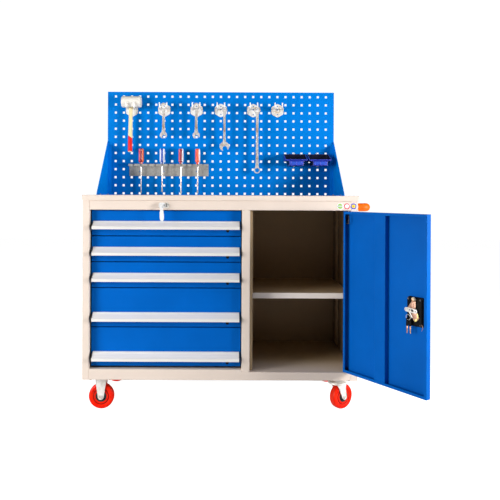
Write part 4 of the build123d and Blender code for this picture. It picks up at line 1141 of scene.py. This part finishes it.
lock_front = joints["key_turn"]["pos_m"]
finish(
    "drawer_lock_detail", barrel_shape(), lock_front, [lit_zinc], "root",
    "zinc_plate", "lock_barrel",
)
finish(
    "drawer_key_detail", key_shape(), lock_front, [white_plastic, zinc_plate, dark_steel, lit_zinc], "key",
    "key_plastic", "lock_plug_and_key",
)
tag_low, tag_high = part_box("key_tag")
x, y, z = joints["spare_key_swing"]["pos_m"]
finish(
    "spare_key_detail", tag_shape(), (x, (tag_low.y + tag_high.y) / 2, z), [white_plastic], "spare_key",
    "key_plastic", "key_tag", turn=spin(-2, "Y"),
)


# -------- round stickers

def sticker_material(name, stops, band=None):
    """Printed paper dot: flat rings of colour round the middle, with a printed grain."""
    look = Look(name, roughness=0.6, specular=0.3)
    tone = look.ramp(look.span(look.radius("XZ"), 0.0, 0.0125), stops, steps=True)
    if band:
        flat = look.math("ABSOLUTE", look.along("Z"))
        tone = look.mix(look.math("LESS_THAN", flat, 0.0022), tone, band)
    grain = look.noise(1500.0, 2.0)
    look.put("Base Color", look.mix(look.span(grain, 0.35, 0.65, 0.0, 0.12), tone, (0.9, 0.9, 0.9)))
    look.rough(grain, 0.5, 0.7)
    look.bump((grain, 0.00002))
    return look.material


WHITE = (0.92, 0.92, 0.92)
PALE_GREY = (0.62, 0.66, 0.66)
GREEN = (0.30, 0.56, 0.08)
RED = (0.76, 0.06, 0.07)
VIOLET = (0.10, 0.07, 0.52)
YELLOW = (0.95, 0.74, 0.0)
ORANGE = (1.0, 0.28, 0.02)
# Name, place across the rail, rings of colour from the middle outwards, and a band over them
STICKERS = [
    ("green_sticker", 0.4625, [(0.0, GREEN), (0.80, WHITE)], PALE_GREY),
    ("red_sticker", 0.4880, [(0.0, WHITE), (0.62, RED), (0.93, WHITE)], None),
    ("violet_sticker", 0.5135, [(0.0, ORANGE), (0.22, YELLOW), (0.55, VIOLET), (0.93, WHITE)], None),
]
STICKER_Z = 0.810
for name, across, stops, band in STICKERS:
    disc = Shape()
    disc_edge = [(0.4, -0.02), (12.4, -0.02), (12.5, -0.12), (12.3, -0.22), (0.4, -0.24)]
    disc.take(lathe(disc_edge, steps=64), 0, INWARD)
    finish(
        name, disc, (across, FRONT, STICKER_Z), [sticker_material(name, stops, band)], "root", "key_plastic",
    )


# -------- materials of the CAD nodes

PAINTED = [
    (left_inner, ["left_side_panel"]), (right_inner, ["right_side_panel"]), (rear_inner, ["back_panel"]),
    (floor_pan_paint, ["base_pan"]), (cream_paint, ["top_rail", "bottom_rail", "worktop"]),
    (inside_paint, ["centre_divider", "shelf_uprights"]), (lit_shaded_shelf_paint, ["shelf"]),
    (core_board, ["worktop_core"]), (board_paint, ["pegboard"]), (lit_board_paint, ["side_gussets"]),
    (rack_steel, ["drawer_rails", "screwdriver_rack"]), (hook_steel, ["tool_hooks"]),
    (orange_plastic, ["push_handle_tube", "push_handle_brackets"]), (bolt_steel, ["fasteners"]),
    (lit_zinc, ["fixed_caster_forks", "swivel_caster_plates"]), (blue_paint, ["door_leaf"]),
    (dark_steel, ["lock_barrel", "door_pivot_pins"]), (black_plastic, ["door_lock"]),
    (copper_plate, ["door_lock_cam"]), (zinc_plate, ["lock_plug_and_key"]),
    (white_plastic, ["key_tag", "mallet"]),
    (blue_paint, [f"drawer_{number}_body" for number in range(1, 6)]),
    (pull_aluminium, [f"drawer_{number}_handle" for number in range(1, 6)]),
    (black_plastic, [f"drawer_{number}_latch" for number in range(1, 6)]),
    (tool_chrome, [f"wrench_{number}" for number in range(1, 5)]),
    (orange_plastic, [f"screwdriver_{number}" for number in range(1, 5)]),
    (bin_plastic, ["parts_bin_1", "parts_bin_2"]),
]
for material, names in PAINTED:
    for name in names:
        slots = nodes[name].data.materials
        if not slots:
            slots.append(material)
        for index in range(len(slots)):
            slots[index] = material


# -------- camera, light and floor

CAMERA_PLACE = (0.0, -2.552, 0.8535)
CAMERA_ROLL = 0.25
camera_data = bpy.data.cameras.new("camera")
camera_data.lens = 42.9
camera_data.sensor_width = 36.0
camera_data.shift_x = 0.059
camera_data.shift_y = -0.111
camera = bpy.data.objects.new("camera", camera_data)
camera.matrix_world = shift(*CAMERA_PLACE) @ spin(90, "X") @ spin(CAMERA_ROLL, "Z")
scene.collection.objects.link(camera)
scene.camera = camera


def softbox(name, place, aim, size, power):
    data = bpy.data.lights.new(name, "AREA")
    data.shape = "RECTANGLE"
    data.size, data.size_y = size
    data.energy = power
    lamp = bpy.data.objects.new(name, data)
    way = Vector(aim) - Vector(place)
    lamp.matrix_world = Matrix.Translation(place) @ way.to_track_quat("-Z", "Y").to_matrix().to_4x4()
    scene.collection.objects.link(lamp)


softbox("left_softbox", (-2.6, -1.7, 0.90), (0.0, 0.0, 0.75), (1.2, 1.6), 88.0)
softbox("right_softbox", (2.3, -1.3, 1.0), (0.0, 0.0, 0.85), (0.6, 0.9), 71.0)
softbox("top_softbox", (0.0, -1.3, 3.0), (0.0, 0.0, 0.6), (2.5, 1.2), 12.0)


def studio():
    """White behind the object, and a dim light from all round that grows upwards."""
    world = bpy.data.worlds.new("studio")
    room = Nodes(world, "Generated")
    seen = room.node("Background")
    room.fill(seen.inputs["Color"], (1.0, 1.0, 1.0))
    room.fill(seen.inputs["Strength"], 1.05)
    lit = room.node("Background")
    room.link(room.span(room.along("Z"), -0.1, 0.9, 0.02, 0.08), lit.inputs["Color"])
    choice = room.node("MixShader")
    room.link(room.node("LightPath").outputs["Is Camera Ray"], choice.inputs[0])
    room.link(lit.outputs[0], choice.inputs[1])
    room.link(seen.outputs[0], choice.inputs[2])
    room.link(choice.outputs[0], room.node("OutputWorld").inputs[0])
    return world


scene.world = studio()


def floor_material():
    """Pale ground, white to the camera as in a studio picture."""
    look = Look("pale_floor", roughness=0.8, specular=0.1)
    cloud = look.noise(1.2, 3.0)
    look.put("Base Color", look.ramp(cloud, [(0.3, (0.50, 0.50, 0.50)), (0.7, (0.54, 0.54, 0.54))]))
    seen = look.node("LightPath").outputs["Is Camera Ray"]
    look.put("Emission Color", look.mix(seen, (0.035, 0.035, 0.035), (0.96, 0.96, 0.96)))
    look.put("Emission Strength", 1.0)
    return look.material


FLOOR_REACH = 9.0
floor_mesh = bpy.data.meshes.new("floor")
corners = [(x * FLOOR_REACH, y * FLOOR_REACH, 0.0) for x, y in ((-1, -1), (1, -1), (1, 1), (-1, 1))]
floor_mesh.from_pydata(corners, [], [(0, 1, 2, 3)])
floor_mesh.materials.append(floor_material())
floor = bpy.data.objects.new("floor", floor_mesh)
scene.collection.objects.link(floor)
scene.view_settings.view_transform = "Standard"
